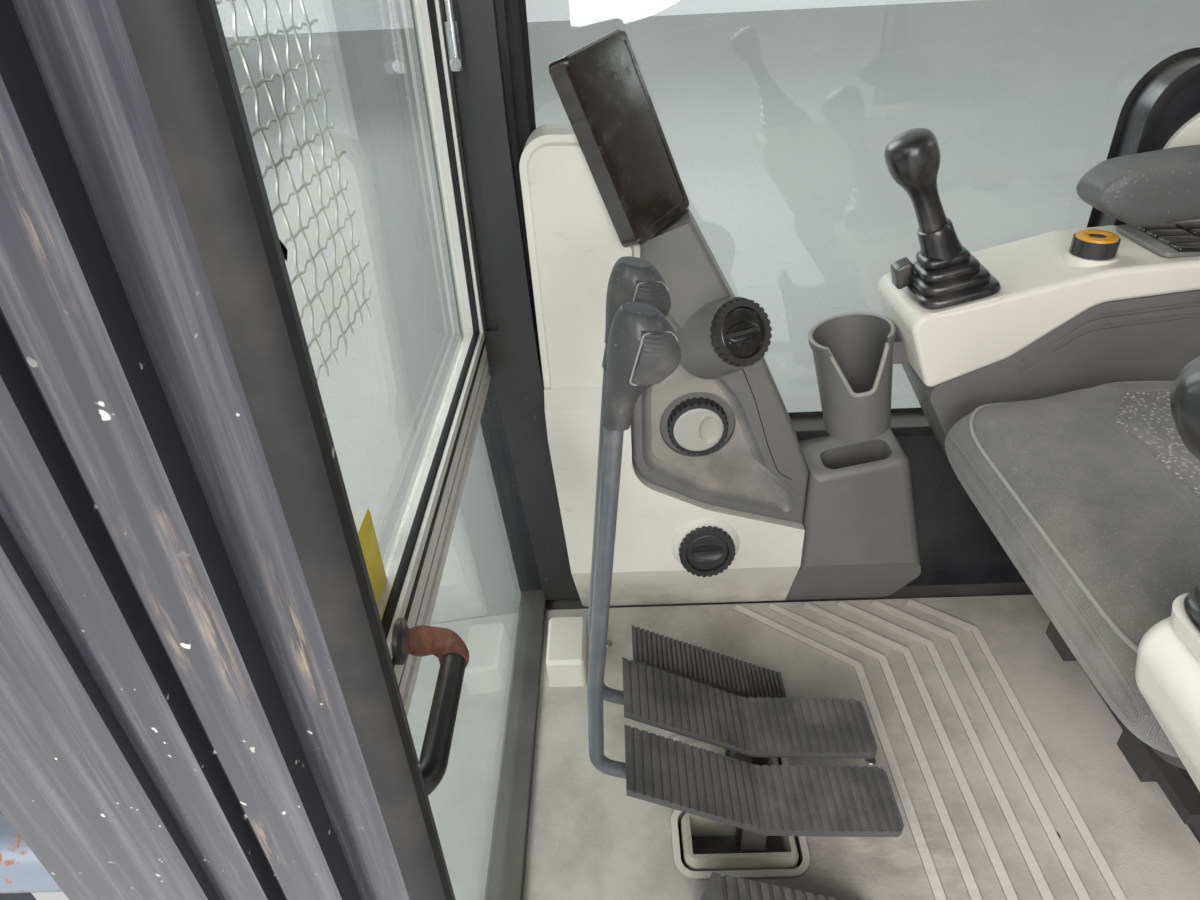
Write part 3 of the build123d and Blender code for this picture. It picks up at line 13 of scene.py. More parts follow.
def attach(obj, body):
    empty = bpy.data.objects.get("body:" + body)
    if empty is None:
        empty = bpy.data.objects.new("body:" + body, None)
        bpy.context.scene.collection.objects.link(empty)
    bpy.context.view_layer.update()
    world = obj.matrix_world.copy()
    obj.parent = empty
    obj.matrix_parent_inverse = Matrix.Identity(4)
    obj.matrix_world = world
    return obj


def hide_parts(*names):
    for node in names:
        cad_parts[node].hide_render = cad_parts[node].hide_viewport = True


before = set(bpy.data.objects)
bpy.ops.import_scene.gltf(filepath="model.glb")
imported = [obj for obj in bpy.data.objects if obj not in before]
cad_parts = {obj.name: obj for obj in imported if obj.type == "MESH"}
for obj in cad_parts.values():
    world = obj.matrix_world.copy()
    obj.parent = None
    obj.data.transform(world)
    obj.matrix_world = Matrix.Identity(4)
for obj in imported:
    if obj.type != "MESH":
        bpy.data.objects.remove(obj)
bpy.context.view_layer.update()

bl_info = {
    "name": "Excavator cab dressing",
    "version": (1, 0, 0),
    "blender": (4, 5, 0),
    "location": "3D View > Sidebar > Cab",
    "description": "Finishes, seat covers, seals, wire mesh and small parts of an excavator cab",
    "category": "Object",
}

MM = 0.001

# Places that the pieces share with the cab's solids
HALF_WIDTH = 485
INNER_HALF = 425
CAB_FRONT = -838
CAB_REAR = 790
FRAME_TOP = 1640
ROOF_TOP = 1695
FLOOR_TOP = 100
WAIST = 600
SASH_REAR = -798
GUARD_FACE = -930
SEAT_HALF = 238
BACK_HALF = 228
HINGE_HEIGHTS = (430, 1230)
DOOR_INNER_X = 499
DOOR_OUTER_X = 539

# Outlines in the side view: distance along Y, height, corner radius
DOOR_OPENING = [(-690, 100, 40), (50, 100, 40), (50, 1575, 90), (-690, 1575, 120)]
SIDE_WINDOW = [(-714, 430, 60), (84, 430, 80), (84, 950, 70), (560, 950, 60), (560, 1545, 90), (-714, 1545, 90)]
REAR_WINDOW = [(-320, 830, 50), (320, 830, 50), (320, 1490, 50), (-320, 1490, 50)]
DOOR_EDGE = [(852, 88, 50), (852, 1588, 110), (94, 1588, 90), (94, 88, 50)]
DOOR_WINDOWS = [
    [(154, 640, 50), (798, 640, 50), (798, 1530, 80), (154, 1530, 60)],
    [(154, 170, 50), (798, 170, 50), (798, 560, 50), (154, 560, 50)],
]


# Seams of the seat in one half of its plan, mirrored to the other: start and end of each line
CUSHION_SEAMS = [((0, -42), (130, -42)), ((130, -42), (200, 8)), ((200, 8), (200, 262)), ((200, 8), (240, -66))]
BACK_SEAMS = [((0, 556), (152, 556)), ((152, 556), (114, 1088)), ((114, 1088), (0, 1088)), ((152, 640), (230, 620))]


class CabSizes(bpy.types.PropertyGroup):
    """Sizes of the pieces that are made here."""

    wire_radius: FloatProperty(
        name="Wire radius", description="Half the thickness of the guard's wires", default=1.75 * MM, unit="LENGTH"
    )
    wire_crimp: FloatProperty(
        name="Wire crimp", description="How far a wire swings to each side of the mesh", default=2.0 * MM, unit="LENGTH"
    )
    upright_pitch: FloatProperty(
        name="Upright pitch", description="Distance between the upright wires", default=38 * MM, unit="LENGTH"
    )
    level_pitch: FloatProperty(
        name="Level pitch", description="Distance between the level wires", default=35.5 * MM, unit="LENGTH"
    )
    piping_radius: FloatProperty(
        name="Piping radius", description="Half the thickness of the seat's piping", default=2.6 * MM, unit="LENGTH"
    )
    cushion_crown: FloatProperty(
        name="Cushion crown", description="How far the seat's middle swells", default=9 * MM, unit="LENGTH"
    )
    seal_width: FloatProperty(
        name="Seal width", description="Width of the rubber round the side window", default=17 * MM, unit="LENGTH"
    )
    bolt_width: FloatProperty(
        name="Bolt width", description="Width of the guard's bolt heads", default=19 * MM, unit="LENGTH"
    )
    bolt_sides: IntProperty(name="Bolt sides", description="Sides of a bolt head", default=6, min=5, max=8)


class CabColours(bpy.types.PropertyGroup):
    """Colours of the cab's finishes."""

    def shade(name, description, value):
        return FloatVectorProperty(
            name=name, description=description, default=value, size=3, subtype="COLOR", min=0.0, max=1.0
        )

    frame_paint: shade("Frame paint", "Dark gloss paint of the shell", (0.017, 0.017, 0.020))
    light_plastic: shade("Light plastic", "Cream panels of the consoles", (0.66, 0.635, 0.555))
    grey_plastic: shade("Grey plastic", "Middle grey mouldings", (0.120, 0.118, 0.112))
    black_plastic: shade("Black plastic", "Trim, vents and levers", (0.022, 0.022, 0.023))
    mat_rubber: shade("Floor rubber", "Dusty floor mat", (0.57, 0.535, 0.475))
    pad_rubber: shade("Pedal rubber", "Ribbed pads", (0.080, 0.079, 0.076))
    seat_cloth: shade("Seat cloth", "Woven cover of the seat", (0.115, 0.112, 0.104))
    armrest_vinyl: shade("Armrest vinyl", "Padded vinyl", (0.085, 0.085, 0.084))
    rod_paint: shade("Lever paint", "Satin paint of the lever rods", (0.090, 0.097, 0.108))
    decal: shade("Decal", "Blank label on the windscreen", (0.80, 0.62, 0.03))
    glass_tint: shade("Glass tint", "Colour seen through the panes", (0.92, 0.955, 0.94))


# ---------------------------------------------------------------- surfaces


def quads(rows, columns, along, around):
    """Faces of a grid of points: each cell takes its four corners, and a closed direction joins up."""
    i = np.arange(rows if along else rows - 1)
    j = np.arange(columns if around else columns - 1)
    i, j = np.meshgrid(i, j, indexing="ij")
    k, m = (i + 1) % rows, (j + 1) % columns
    return np.stack([i * columns + j, i * columns + m, k * columns + m, k * columns + j], -1).reshape(-1, 4)


class Surface:
    """Grids of points gathered into one mesh; points are given in millimetres."""

    def __init__(self):
        self.points = []
        self.faces = []
        self.places = []
        self.count = 0

    def add(self, grid, along=False, around=True, ends=False, uv=None):
        """Adds a grid; with ends, the first and last rows are closed by a face each."""
        grid = np.asarray(grid, float)
        rows, columns = grid.shape[:2]
        self.faces += (quads(rows, columns, along, around) + self.count).tolist()
        if ends:
            ring = np.arange(columns) + self.count
            self.faces.append(ring[::-1].tolist())
            self.faces.append((ring + (rows - 1) * columns).tolist())
        self.points.append(grid.reshape(-1, 3) * MM)
        if uv is None:
            uv = np.zeros((rows, columns, 2))
        self.places.append(uv.reshape(-1, 2))
        self.count += rows * columns
        return self

    def piece(self, name, body, finish, slot, smooth=True, merge=0.0):
        """The mesh as an object that rides on a body and wears a finish."""
        mesh = bpy.data.meshes.new(name)
        mesh.from_pydata(np.concatenate(self.points), [], self.faces)
        place = mesh.attributes.new("run", "FLOAT2", "POINT")
        place.data.foreach_set("vector", np.concatenate(self.places).astype(np.float32).ravel())
        shape = bmesh.new()
        shape.from_mesh(mesh)
        if merge:
            bmesh.ops.remove_doubles(shape, verts=shape.verts, dist=merge)
        bmesh.ops.recalc_face_normals(shape, faces=shape.faces)
        shape.to_mesh(mesh)
        shape.free()
        if smooth:
            mesh.shade_smooth()
            mesh.set_sharp_from_angle(angle=0.7)
        obj = bpy.data.objects.new(name, mesh)
        bpy.context.scene.collection.objects.link(obj)
        obj.data.materials.append(finish)
        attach(obj, body)
        return obj


def outline(rows, closed=True, step=8.0):
    """A flat line through rows of (across, up, radius), its corners turned into arcs.

    A corner's arc starts radius / tan(half the corner) from the corner, and its
    points are centre + radius (cos t, sin t) in equal steps of t.
    """
    parts = []
    count = len(rows)
    for index, (x, y, radius) in enumerate(rows):
        corner = np.array([x, y], float)
        if radius == 0 or (not closed and index in (0, count - 1)):
            parts.append(corner[None])
            continue
        before = np.array(rows[index - 1][:2], float) - corner
        after = np.array(rows[(index + 1) % count][:2], float) - corner
        before /= np.linalg.norm(before)
        after /= np.linalg.norm(after)
        half = np.arccos(np.clip(before @ after, -1, 1)) / 2
        middle = before + after
        centre = corner + middle / np.linalg.norm(middle) * radius / np.sin(half)
        start = corner + before * radius / np.tan(half) - centre
        end = corner + after * radius / np.tan(half) - centre
        a, b = np.arctan2(start[1], start[0]), np.arctan2(end[1], end[0])
        turn = (b - a + np.pi) % (2 * np.pi) - np.pi
        t = a + turn * np.linspace(0, 1, max(3, int(abs(turn) * radius / step) + 2))
        parts.append(centre + radius * np.stack([np.cos(t), np.sin(t)], -1))
    return np.concatenate(parts)


def outward(line, closed=True):
    """Normals of a counter-clockwise line, as long as the mitre at each point needs."""
    following = np.roll(line, -1, 0) - line
    following /= np.maximum(np.linalg.norm(following, axis=1, keepdims=True), 1e-9)
    leading = np.roll(following, 1, 0)
    if not closed:
        following[-1] = leading[-1]
        leading[0] = following[0]
    mean = following + leading
    mean /= np.linalg.norm(mean, axis=1, keepdims=True)
    stretch = np.sum(mean * following, axis=1, keepdims=True)
    return np.stack([mean[:, 1], -mean[:, 0]], -1) / np.maximum(stretch, 0.3)


def framed(rows, section, closed=True, step=8.0):
    """A section carried round a flat outline: point + out * normal, with `over` across the plane."""
    line = outline(rows, closed, step)
    normal = outward(line, closed)
    section = np.asarray(section, float)
    flat = line[:, None] + normal[:, None] * section[None, :, :1]
    over = np.broadcast_to(section[None, :, 1:], flat.shape[:2] + (1,))
    return np.concatenate([flat, over], -1)


def stood(grid, plane, offset=0.0):
    """A grid of (across, up, over) stood in a plane: side is YZ, front is XZ, level is XY."""
    a, b, over = grid[..., 0], grid[..., 1], grid[..., 2] + offset
    order = {"side": (over, a, b), "front": (a, over, b), "level": (a, b, over)}[plane]
    return np.stack(order, -1)


def slab(width, height, rounding=1.0, middle=(0.0, 0.0)):
    """A rounded rectangular section of (out, over) points."""
    w, h = width / 2, height / 2
    rows = [(-w, -h, rounding), (w, -h, rounding), (w, h, rounding), (-w, h, rounding)]
    return outline(rows, step=rounding) + np.asarray(middle)


def plate(rows, plane, offset, thickness, rounding=1.0, step=6.0):
    """A flat plate of the outline with softened edges: rings from the back face to the front one.

    Each ring is the outline moved in by an inset and over by a height.
    """
    line = outline(rows, True, step)
    normal = outward(line)
    insets = np.array([rounding * 0.3, 0, 0, rounding * 0.3, rounding, rounding])
    heights = np.array([0, rounding * 0.3, thickness - rounding, thickness - rounding * 0.3, thickness, thickness])
    rings = line[None] - normal[None] * insets[:, None, None]
    over = np.broadcast_to(heights[:, None, None], rings.shape[:2] + (1,))
    return stood(np.concatenate([rings, over], -1)[:5], plane, offset)


def basis(axis):
    """Two unit vectors square to an axis and to each other."""
    axis = np.asarray(axis, float) / np.linalg.norm(axis)
    other = np.array([0.0, 0.0, 1.0]) if abs(axis[2]) < 0.9 else np.array([1.0, 0.0, 0.0])
    side = np.cross(other, axis)
    side /= np.linalg.norm(side)
    return side, np.cross(axis, side), axis


def turned(section, centre, axis, sides=24, start=0.0):
    """A surface of revolution: centre + r (cos a · side + sin a · lift) + h · axis for each (r, h)."""
    side, lift, axis = basis(axis)
    section = np.asarray(section, float)
    a = start + np.linspace(0, 2 * np.pi, sides, endpoint=False)
    ring = np.cos(a)[:, None] * side + np.sin(a)[:, None] * lift
    return np.asarray(centre, float) + section[:, None, :1] * ring[None] + section[:, None, 1:] * axis


def bolt(centre, axis, width, height, sides=6):
    """A bolt head with a chamfer on a washer, as rings of (radius, height)."""
    r = width / 2
    head = [(0.02, height + 2), (r * 0.8, height + 2), (r, height + 0.8), (r, 2)]
    washer = [(r * 1.35, 2), (r * 1.45, 1.4), (r * 1.45, 0), (0.02, 0)]
    return turned(head, centre, axis, sides), turned(washer, centre, axis, 20)


def tube(path, radius, normal, sides=10):
    """A round section carried along a path: point + r (cos a · side + sin a · lift).

    The side is square to the run and to the given normal, and the lift is square to both.
    """
    path = np.asarray(path, float)
    run = np.gradient(path, axis=0)
    run /= np.linalg.norm(run, axis=1, keepdims=True)
    side = np.cross(run, np.asarray(normal, float))
    side /= np.linalg.norm(side, axis=1, keepdims=True)
    lift = np.cross(side, run)
    a = np.linspace(0, 2 * np.pi, sides, endpoint=False)
    radius = np.broadcast_to(np.asarray(radius, float).reshape(-1, 1, 1), (len(path), sides, 1))
    circle = np.cos(a)[None, :, None] * side[:, None] + np.sin(a)[None, :, None] * lift[:, None]
    return path[:, None] + radius * circle


def box_pad(place, thick_up, thick_down, count=(120, 120), power=7.0):
    """A closed pad over the square (-1..1, -1..1): the top and bottom meet at the square's edge.

    place(u, v) gives the middle surface and its upward direction, and the pad swells
    from it by its thickness times the superellipse (1 - |u|^p)(1 - |v|^p) to the power 1/p.
    """
    s = np.sin(np.linspace(-1, 1, count[0]) * np.pi / 2)
    t = np.sin(np.linspace(-1, 1, count[1]) * np.pi / 2)
    u, v = np.meshgrid(s, t, indexing="ij")
    swell = ((1 - np.abs(u) ** power) * (1 - np.abs(v) ** power)) ** (1 / power * 2)
    middle, up = place(u, v)
    top = middle + up * (thick_up(u, v) * swell)[..., None]
    bottom = middle - up * (thick_down(u, v) * swell)[..., None]
    return top, bottom[::-1]


# ---------------------------------------------------------------- finishes


class Socket:
    """A node's output that takes part in Python sums."""

    def __init__(self, finish, output):
        self.finish = finish
        self.output = output

    def __add__(self, other):
        return self.finish.math("ADD", self, other)

    def __sub__(self, other):
        return self.finish.math("SUBTRACT", self, other)

    def __rsub__(self, other):
        return self.finish.math("SUBTRACT", other, self)

    def __mul__(self, other):
        return self.finish.math("MULTIPLY", self, other)

    def __truediv__(self, other):
        return self.finish.math("DIVIDE", self, other)

    def __pow__(self, other):
        return self.finish.math("POWER", self, other)

    def __abs__(self):
        return self.finish.math("ABSOLUTE", self)

    __radd__ = __add__
    __rmul__ = __mul__


class Finish:
    """A material in the making: one Principled shader and the nodes that feed it."""

    def __init__(self, name, colour=(0.5, 0.5, 0.5), roughness=0.5, **numbers):
        self.material = bpy.data.materials.new(name)
        self.material.use_nodes = True
        self.tree = self.material.node_tree
        self.tree.nodes.clear()
        self.end = self.tree.nodes.new("ShaderNodeOutputMaterial")
        self.shader = self.tree.nodes.new("ShaderNodeBsdfPrincipled")
        self.tree.links.new(self.shader.outputs[0], self.end.inputs[0])
        self.material.diffuse_color = (*colour, 1.0)
        self.feed(self.shader, {"Base Color": (*colour, 1.0), "Roughness": roughness})
        self.feed(self.shader, {key.replace("_", " ").title().replace("Ior", "IOR"): value for key, value in numbers.items()})

    def feed(self, node, inputs):
        """Gives a node's sockets their values or links."""
        for key, value in inputs.items():
            if isinstance(value, Socket):
                self.tree.links.new(value.output, node.inputs[key])
            elif isinstance(node.inputs[key].default_value, float) or np.ndim(value) == 0:
                node.inputs[key].default_value = value
            else:
                length = len(node.inputs[key].default_value)
                node.inputs[key].default_value = (*value, 1.0)[:length]

    def node(self, kind, settings, inputs, output=0):
        """Any node: its type, its settings, then the values or links of its sockets."""
        node = self.tree.nodes.new(kind)
        for key, value in settings.items():
            setattr(node, key, value)
        self.feed(node, inputs)
        return Socket(self, node.outputs[output])

    def math(self, operation, a, b=0.0, clamp=False):
        return self.node("ShaderNodeMath", {"operation": operation, "use_clamp": clamp}, {0: a, 1: b})

    def where(self, scale=(1.0, 1.0, 1.0), turn=(0.0, 0.0, 0.0), shift=(0.0, 0.0, 0.0)):
        """The place on the object, stretched and turned by a Mapping node."""
        spot = self.node("ShaderNodeTexCoord", {}, {}, output=3)
        inputs = {"Vector": spot, "Location": shift, "Rotation": turn, "Scale": scale}
        return self.node("ShaderNodeMapping", {}, inputs)

    def axes(self, vector=None):
        """The place's X, Y and Z in metres."""
        vector = vector or self.node("ShaderNodeTexCoord", {}, {}, output=3)
        return [self.node("ShaderNodeSeparateXYZ", {}, {0: vector}, output=i) for i in range(3)]

    def facing(self, axis=2):
        """How far the face looks along an axis of the object."""
        normal = self.node("ShaderNodeTexCoord", {}, {}, output=1)
        return self.node("ShaderNodeSeparateXYZ", {}, {0: normal}, output=axis)

    def noise(self, scale, detail=3.0, roughness=0.55, vector=None):
        inputs = {"Vector": vector or self.where(), "Scale": scale, "Detail": detail, "Roughness": roughness}
        return self.node("ShaderNodeTexNoise", {}, inputs)

    def cells(self, scale, vector=None, feature="F1", output=0):
        inputs = {"Vector": vector or self.where(), "Scale": scale}
        return self.node("ShaderNodeTexVoronoi", {"feature": feature}, inputs, output)

    def rise(self, value, low, high):
        """0 below low and 1 above high, smooth between."""
        settings = {"interpolation_type": "SMOOTHSTEP"}
        return self.node("ShaderNodeMapRange", settings, {"Value": value, "From Min": low, "From Max": high})

    def blend(self, factor, a, b, kind="MIX"):
        """Colour a where the factor is 0 and b where it is 1."""
        settings = {"data_type": "RGBA", "blend_type": kind}
        return self.node("ShaderNodeMix", settings, {0: factor, 6: a, 7: b}, output=2)

    def bump(self, height, distance, strength=1.0):
        """A normal from a height that counts in units of the distance."""
        inputs = {"Height": height, "Distance": distance, "Strength": strength}
        return self.node("ShaderNodeBump", {}, inputs)

    def wear(self, **links):
        """Links the shader's own sockets."""
        self.feed(self.shader, {key.replace("_", " ").title().replace("Ior", "IOR"): value for key, value in links.items()})
        return self.material


def dimmed(colour, factor):
    return tuple(min(1.0, c * factor) for c in colour)


def toward(colour, other, share):
    return tuple(a + (b - a) * share for a, b in zip(colour, other))


DUST = (0.46, 0.42, 0.35)
RUST = (0.20, 0.075, 0.03)


def gloss_paint(name, colour, chips=0.2, streaks=True):
    """Dark gloss paint: cloudy tone, lengthwise rubbing, pale chips and dust on upward faces."""
    f = Finish(name, colour, 0.3, coat_weight=0.15, coat_roughness=0.15, specular_ior_level=0.35)
    cloud = f.noise(4.0, 4.0)
    rub = f.noise(5.0, 4.0, 0.55, f.where(scale=(4.0, 4.0, 0.9)))
    speck = f.rise(f.noise(170.0, 2.0, 0.5), 0.80 - chips * 0.35, 0.83 - chips * 0.35)
    patch = f.rise(f.noise(11.0, 3.0), 0.50, 0.66)
    chip = speck * patch
    tone = f.blend(f.rise(cloud, 0.35, 0.7), colour, toward(colour, (0.055, 0.055, 0.058), 0.5))
    if streaks:
        tone = f.blend(f.rise(rub, 0.52, 0.80) * 0.35, tone, (0.075, 0.070, 0.066))
    dust = f.rise(f.facing(), 0.5, 1.0) * (0.35 + f.rise(f.noise(5.0, 6.0, 0.65), 0.2, 0.8) * 0.65) * 0.22
    tone = f.blend(dust, tone, DUST)
    tone = f.blend(chip, tone, (0.42, 0.38, 0.30))
    rough = 0.24 + f.rise(rub, 0.4, 0.75) * 0.22 + dust * 0.5 + chip * 0.3
    ripple = f.noise(60.0, 2.0) * 0.4 + chip * -1.0
    return f.wear(base_color=tone, roughness=rough, normal=f.bump(ripple, 0.0004, 0.35))


def pillar_paint(name, colour):
    """The door pillar's paint: as the shell's, with painted sheen in lighter streaks on its outer face toward the
    front, and tan scratches beside its creases and edges.
    """
    f = Finish(name, colour, 0.25, coat_roughness=0.10, specular_ior_level=0.35)
    x, y, z = f.axes()
    streak = f.noise(14.0, 6.0, 0.62, f.where(scale=(8.0, 14.0, 0.45)))
    fine = f.noise(40.0, 6.0, 0.65, f.where(scale=(6.0, 12.0, 0.8)))
    crease = 0.0
    for place in (-0.767, -0.747, -0.734, -0.716, -0.703, -0.691):
        crease = f.rise(0.0045 - abs(y - place), 0.0, 0.004) + crease
    band = f.rise(f.noise(22.0, 5.0, 0.6, f.where(scale=(1.0, 1.0, 0.35))), 0.50, 0.64)
    scratch = f.math("MINIMUM", crease * band * f.rise(fine, 0.44, 0.62), 1.0) * 0.75
    outer = f.rise(f.facing(0), 0.35, 0.85)
    speck = f.rise(f.noise(150.0, 2.0), 0.71, 0.74) * f.rise(f.noise(9.0, 3.0), 0.48, 0.66)
    near = f.rise(-0.665 - y, 0.0, 0.02)
    # Lighter streaks: a little everywhere, and painted sheen on the outer face toward the front
    tone = f.blend(f.rise(streak, 0.42, 0.80) * (0.12 + outer * near * 0.75), colour, (0.105, 0.105, 0.113))
    brown = f.rise(f.noise(5.0, 3.0), 0.60, 0.75) * 0.4
    tone = f.blend(brown, tone, (0.085, 0.060, 0.055))
    tone = f.blend(scratch, tone, (0.34, 0.25, 0.17))
    tone = f.blend(speck, tone, (0.55, 0.52, 0.46))
    rough = 0.42 - outer * 0.20 + f.rise(streak, 0.4, 0.8) * (0.04 + near * 0.14) + scratch * 0.4 + speck * 0.3
    relief = f.bump(fine * 0.4 - scratch, 0.0005, 0.35)
    return f.wear(base_color=tone, roughness=rough, coat_weight=outer * 0.35, normal=relief)


def grained_plastic(name, colour, dust=0.3, grain=900.0, shine=0.45):
    """Moulded plastic: fine leather-like grain, dust in clouds, thin pale scuffs."""
    f = Finish(name, colour, shine)
    cloud = f.noise(5.0, 5.0, 0.6)
    grit = f.noise(260.0, 3.0, 0.7)
    scuff = f.rise(f.noise(30.0, 6.0, 0.7, f.where(scale=(1.0, 5.0, 1.0), turn=(0.4, 0.3, 0.8))), 0.66, 0.72)
    up = f.rise(f.facing(), 0.15, 0.95)
    veil = f.rise(cloud, 0.35, 0.75) * (0.35 + up * 0.65) * dust
    tone = f.blend(veil, colour, DUST)
    tone = f.blend(f.rise(grit, 0.62, 0.80) * dust * 0.6, tone, dimmed(DUST, 1.15))
    tone = f.blend(f.rise(f.noise(2.2, 3.0), 0.5, 0.8) * 0.25, tone, dimmed(colour, 0.72))
    tone = f.blend(scuff * 0.22, tone, dimmed(toward(colour, (0.8, 0.8, 0.78), 0.5), 1.0))
    rough = shine + veil * 0.3 - scuff * 0.1
    grainy = f.cells(grain) * 0.7 + f.noise(grain * 0.6, 2.0) * 0.5
    return f.wear(base_color=tone, roughness=rough, normal=f.bump(grainy, 0.00022, 0.45))


def shell_plastic(name, colour):
    """The console's cream shell: grained plastic with grime along its foot and darker rubbed areas."""
    f = Finish(name, colour, 0.5)
    x, y, z = f.axes()
    cloud = f.noise(4.5, 5.0, 0.6)
    foot = f.rise(0.26 - z, 0.0, 0.16) * f.rise(f.noise(16.0, 5.0), 0.35, 0.7)
    rub = f.rise(f.noise(24.0, 6.0, 0.7, f.where(scale=(1.0, 0.5, 2.0), turn=(0.5, 0.0, 0.0))), 0.60, 0.72)
    tone = f.blend(f.rise(cloud, 0.4, 0.75) * 0.35, colour, dimmed(colour, 0.78))
    tone = f.blend(rub * 0.25, tone, (0.33, 0.30, 0.25))
    tone = f.blend(foot * 0.55, tone, (0.30, 0.26, 0.21))
    grainy = f.cells(850.0) * 0.7 + f.noise(500.0, 2.0) * 0.5
    return f.wear(base_color=tone, roughness=0.46 + rub * 0.15 + foot * 0.2, normal=f.bump(grainy, 0.0002, 0.4))


def core_plastic(name, colour):
    """The console's grey spine: dust thick in the sunk panel, thin elsewhere, with pale grit."""
    f = Finish(name, colour, 0.42)
    x, y, z = f.axes()
    sunk = f.rise(-0.3345 - x, 0.0, 0.010) * f.rise(x + 0.352, 0.0, 0.003)
    cloud = f.noise(6.0, 5.0, 0.6)
    grit = f.rise(f.noise(320.0, 3.0, 0.7), 0.60, 0.74)
    up = f.rise(f.facing(), 0.2, 0.9)
    tone = f.blend(sunk * f.rise(cloud, 0.25, 0.6) * 0.42, colour, DUST)
    tone = f.blend(f.rise(cloud, 0.4, 0.75) * (0.12 + up * 0.35), tone, DUST)
    tone = f.blend(grit * f.rise(f.noise(13.0, 3.0), 0.45, 0.7) * (0.35 + sunk * 0.35), tone, dimmed(DUST, 1.3))
    rough = 0.36 + f.rise(cloud, 0.3, 0.8) * 0.2 + sunk * 0.2
    grainy = f.cells(1000.0) * 0.7 + f.noise(600.0, 2.0) * 0.5
    return f.wear(base_color=tone, roughness=rough, normal=f.bump(grainy, 0.0002, 0.4))


def lever_paint(name, colour, grip):
    """The travel levers: satin blue-grey rods, and black rubbery grips above a height."""
    f = Finish(name, colour, 0.3, coat_weight=0.2, coat_roughness=0.15)
    x, y, z = f.axes()
    held = f.rise(z - 0.747, 0.0, 0.0015)
    cloud = f.noise(16.0, 5.0, 0.6)
    speck = f.rise(f.noise(210.0, 3.0, 0.6), 0.66, 0.72)
    rub = f.rise(f.noise(12.0, 5.0, 0.6, f.where(scale=(6.0, 6.0, 0.8))), 0.5, 0.72)
    tone = f.blend(rub * 0.35, colour, dimmed(colour, 1.7))
    tone = f.blend(held, tone, grip)
    tone = f.blend(f.rise(cloud, 0.45, 0.75) * 0.16 + speck * 0.4, tone, DUST)
    rough = 0.28 + held * 0.22 + f.rise(cloud, 0.3, 0.8) * 0.15
    return f.wear(base_color=tone, roughness=rough, normal=f.bump(f.noise(800.0, 2.0) * held + rub * 0.3, 0.0003, 0.5))


def mat_rubber(name, colour):
    """The floor mat: dusty rubber, trodden darker round the pedals, darker between the ribs, painted highlight on the
    rib tops and painted shade on their sides, fine grit.
    """
    f = Finish(name, colour, 0.75)
    x, y, z = f.axes()
    worn = f.rise(0.30 - f.math("SQRT", (x - 0.05) ** 2.0 + (y + 0.33) ** 2.0), 0.0, 0.30)
    cloud = f.noise(7.0, 6.0, 0.65)
    grit = f.noise(380.0, 4.0, 0.7)
    smear = f.noise(16.0, 6.0, 0.7, f.where(scale=(3.0, 1.0, 1.0), turn=(0.0, 0.0, 0.5)))
    low = f.rise(0.1012 - z, 0.0, 0.0012)
    tone = f.blend(f.rise(cloud, 0.35, 0.72) * 0.55, colour, dimmed(colour, 0.62))
    tone = f.blend(worn * f.rise(smear, 0.38, 0.62) * 0.55, tone, (0.19, 0.175, 0.155))
    # Darker between the ribs, at the mat's base
    tone = f.blend(low * (0.22 + f.rise(cloud, 0.45, 0.62) * 0.2), tone, (0.24, 0.22, 0.19))
    # Painted shade on the ribs' steep sides and painted highlight on their tops
    rib_side_painted_shade = 1.0 - f.rise(f.facing(), 0.3, 0.9)
    tone = f.blend((1.0 - low) * 0.45, tone, dimmed(colour, 1.22))
    tone = f.blend(rib_side_painted_shade * 0.55, tone, (0.085, 0.078, 0.068))
    tone = f.blend(f.rise(grit, 0.56, 0.72) * 0.45, tone, dimmed(colour, 1.25))
    tone = f.blend(f.rise(smear, 0.64, 0.74) * 0.3, tone, (0.30, 0.235, 0.16))
    relief = f.cells(420.0) * 0.4 + grit * 0.8
    return f.wear(base_color=tone, roughness=0.66 + f.rise(cloud, 0.3, 0.8) * 0.25, normal=f.bump(relief, 0.0005, 0.6))


def pad_rubber(name, colour, dust=0.6):
    """Black ribbed rubber: dust caught on the faces that look up, with pale grit."""
    f = Finish(name, colour, 0.6)
    cloud = f.noise(14.0, 6.0, 0.65)
    grit = f.noise(300.0, 4.0, 0.7)
    up = f.rise(f.facing(), 0.5, 0.9)
    veil = up * f.rise(cloud, 0.32, 0.68) * dust
    tone = f.blend(veil * 0.62, colour, (0.27, 0.255, 0.225))
    tone = f.blend(f.rise(grit, 0.62, 0.74) * (0.2 + up * 0.4), tone, DUST)
    relief = f.noise(700.0, 3.0, 0.7) + cloud * 0.5
    return f.wear(base_color=tone, roughness=0.5 + veil * 0.4, normal=f.bump(relief, 0.00035, 0.6))


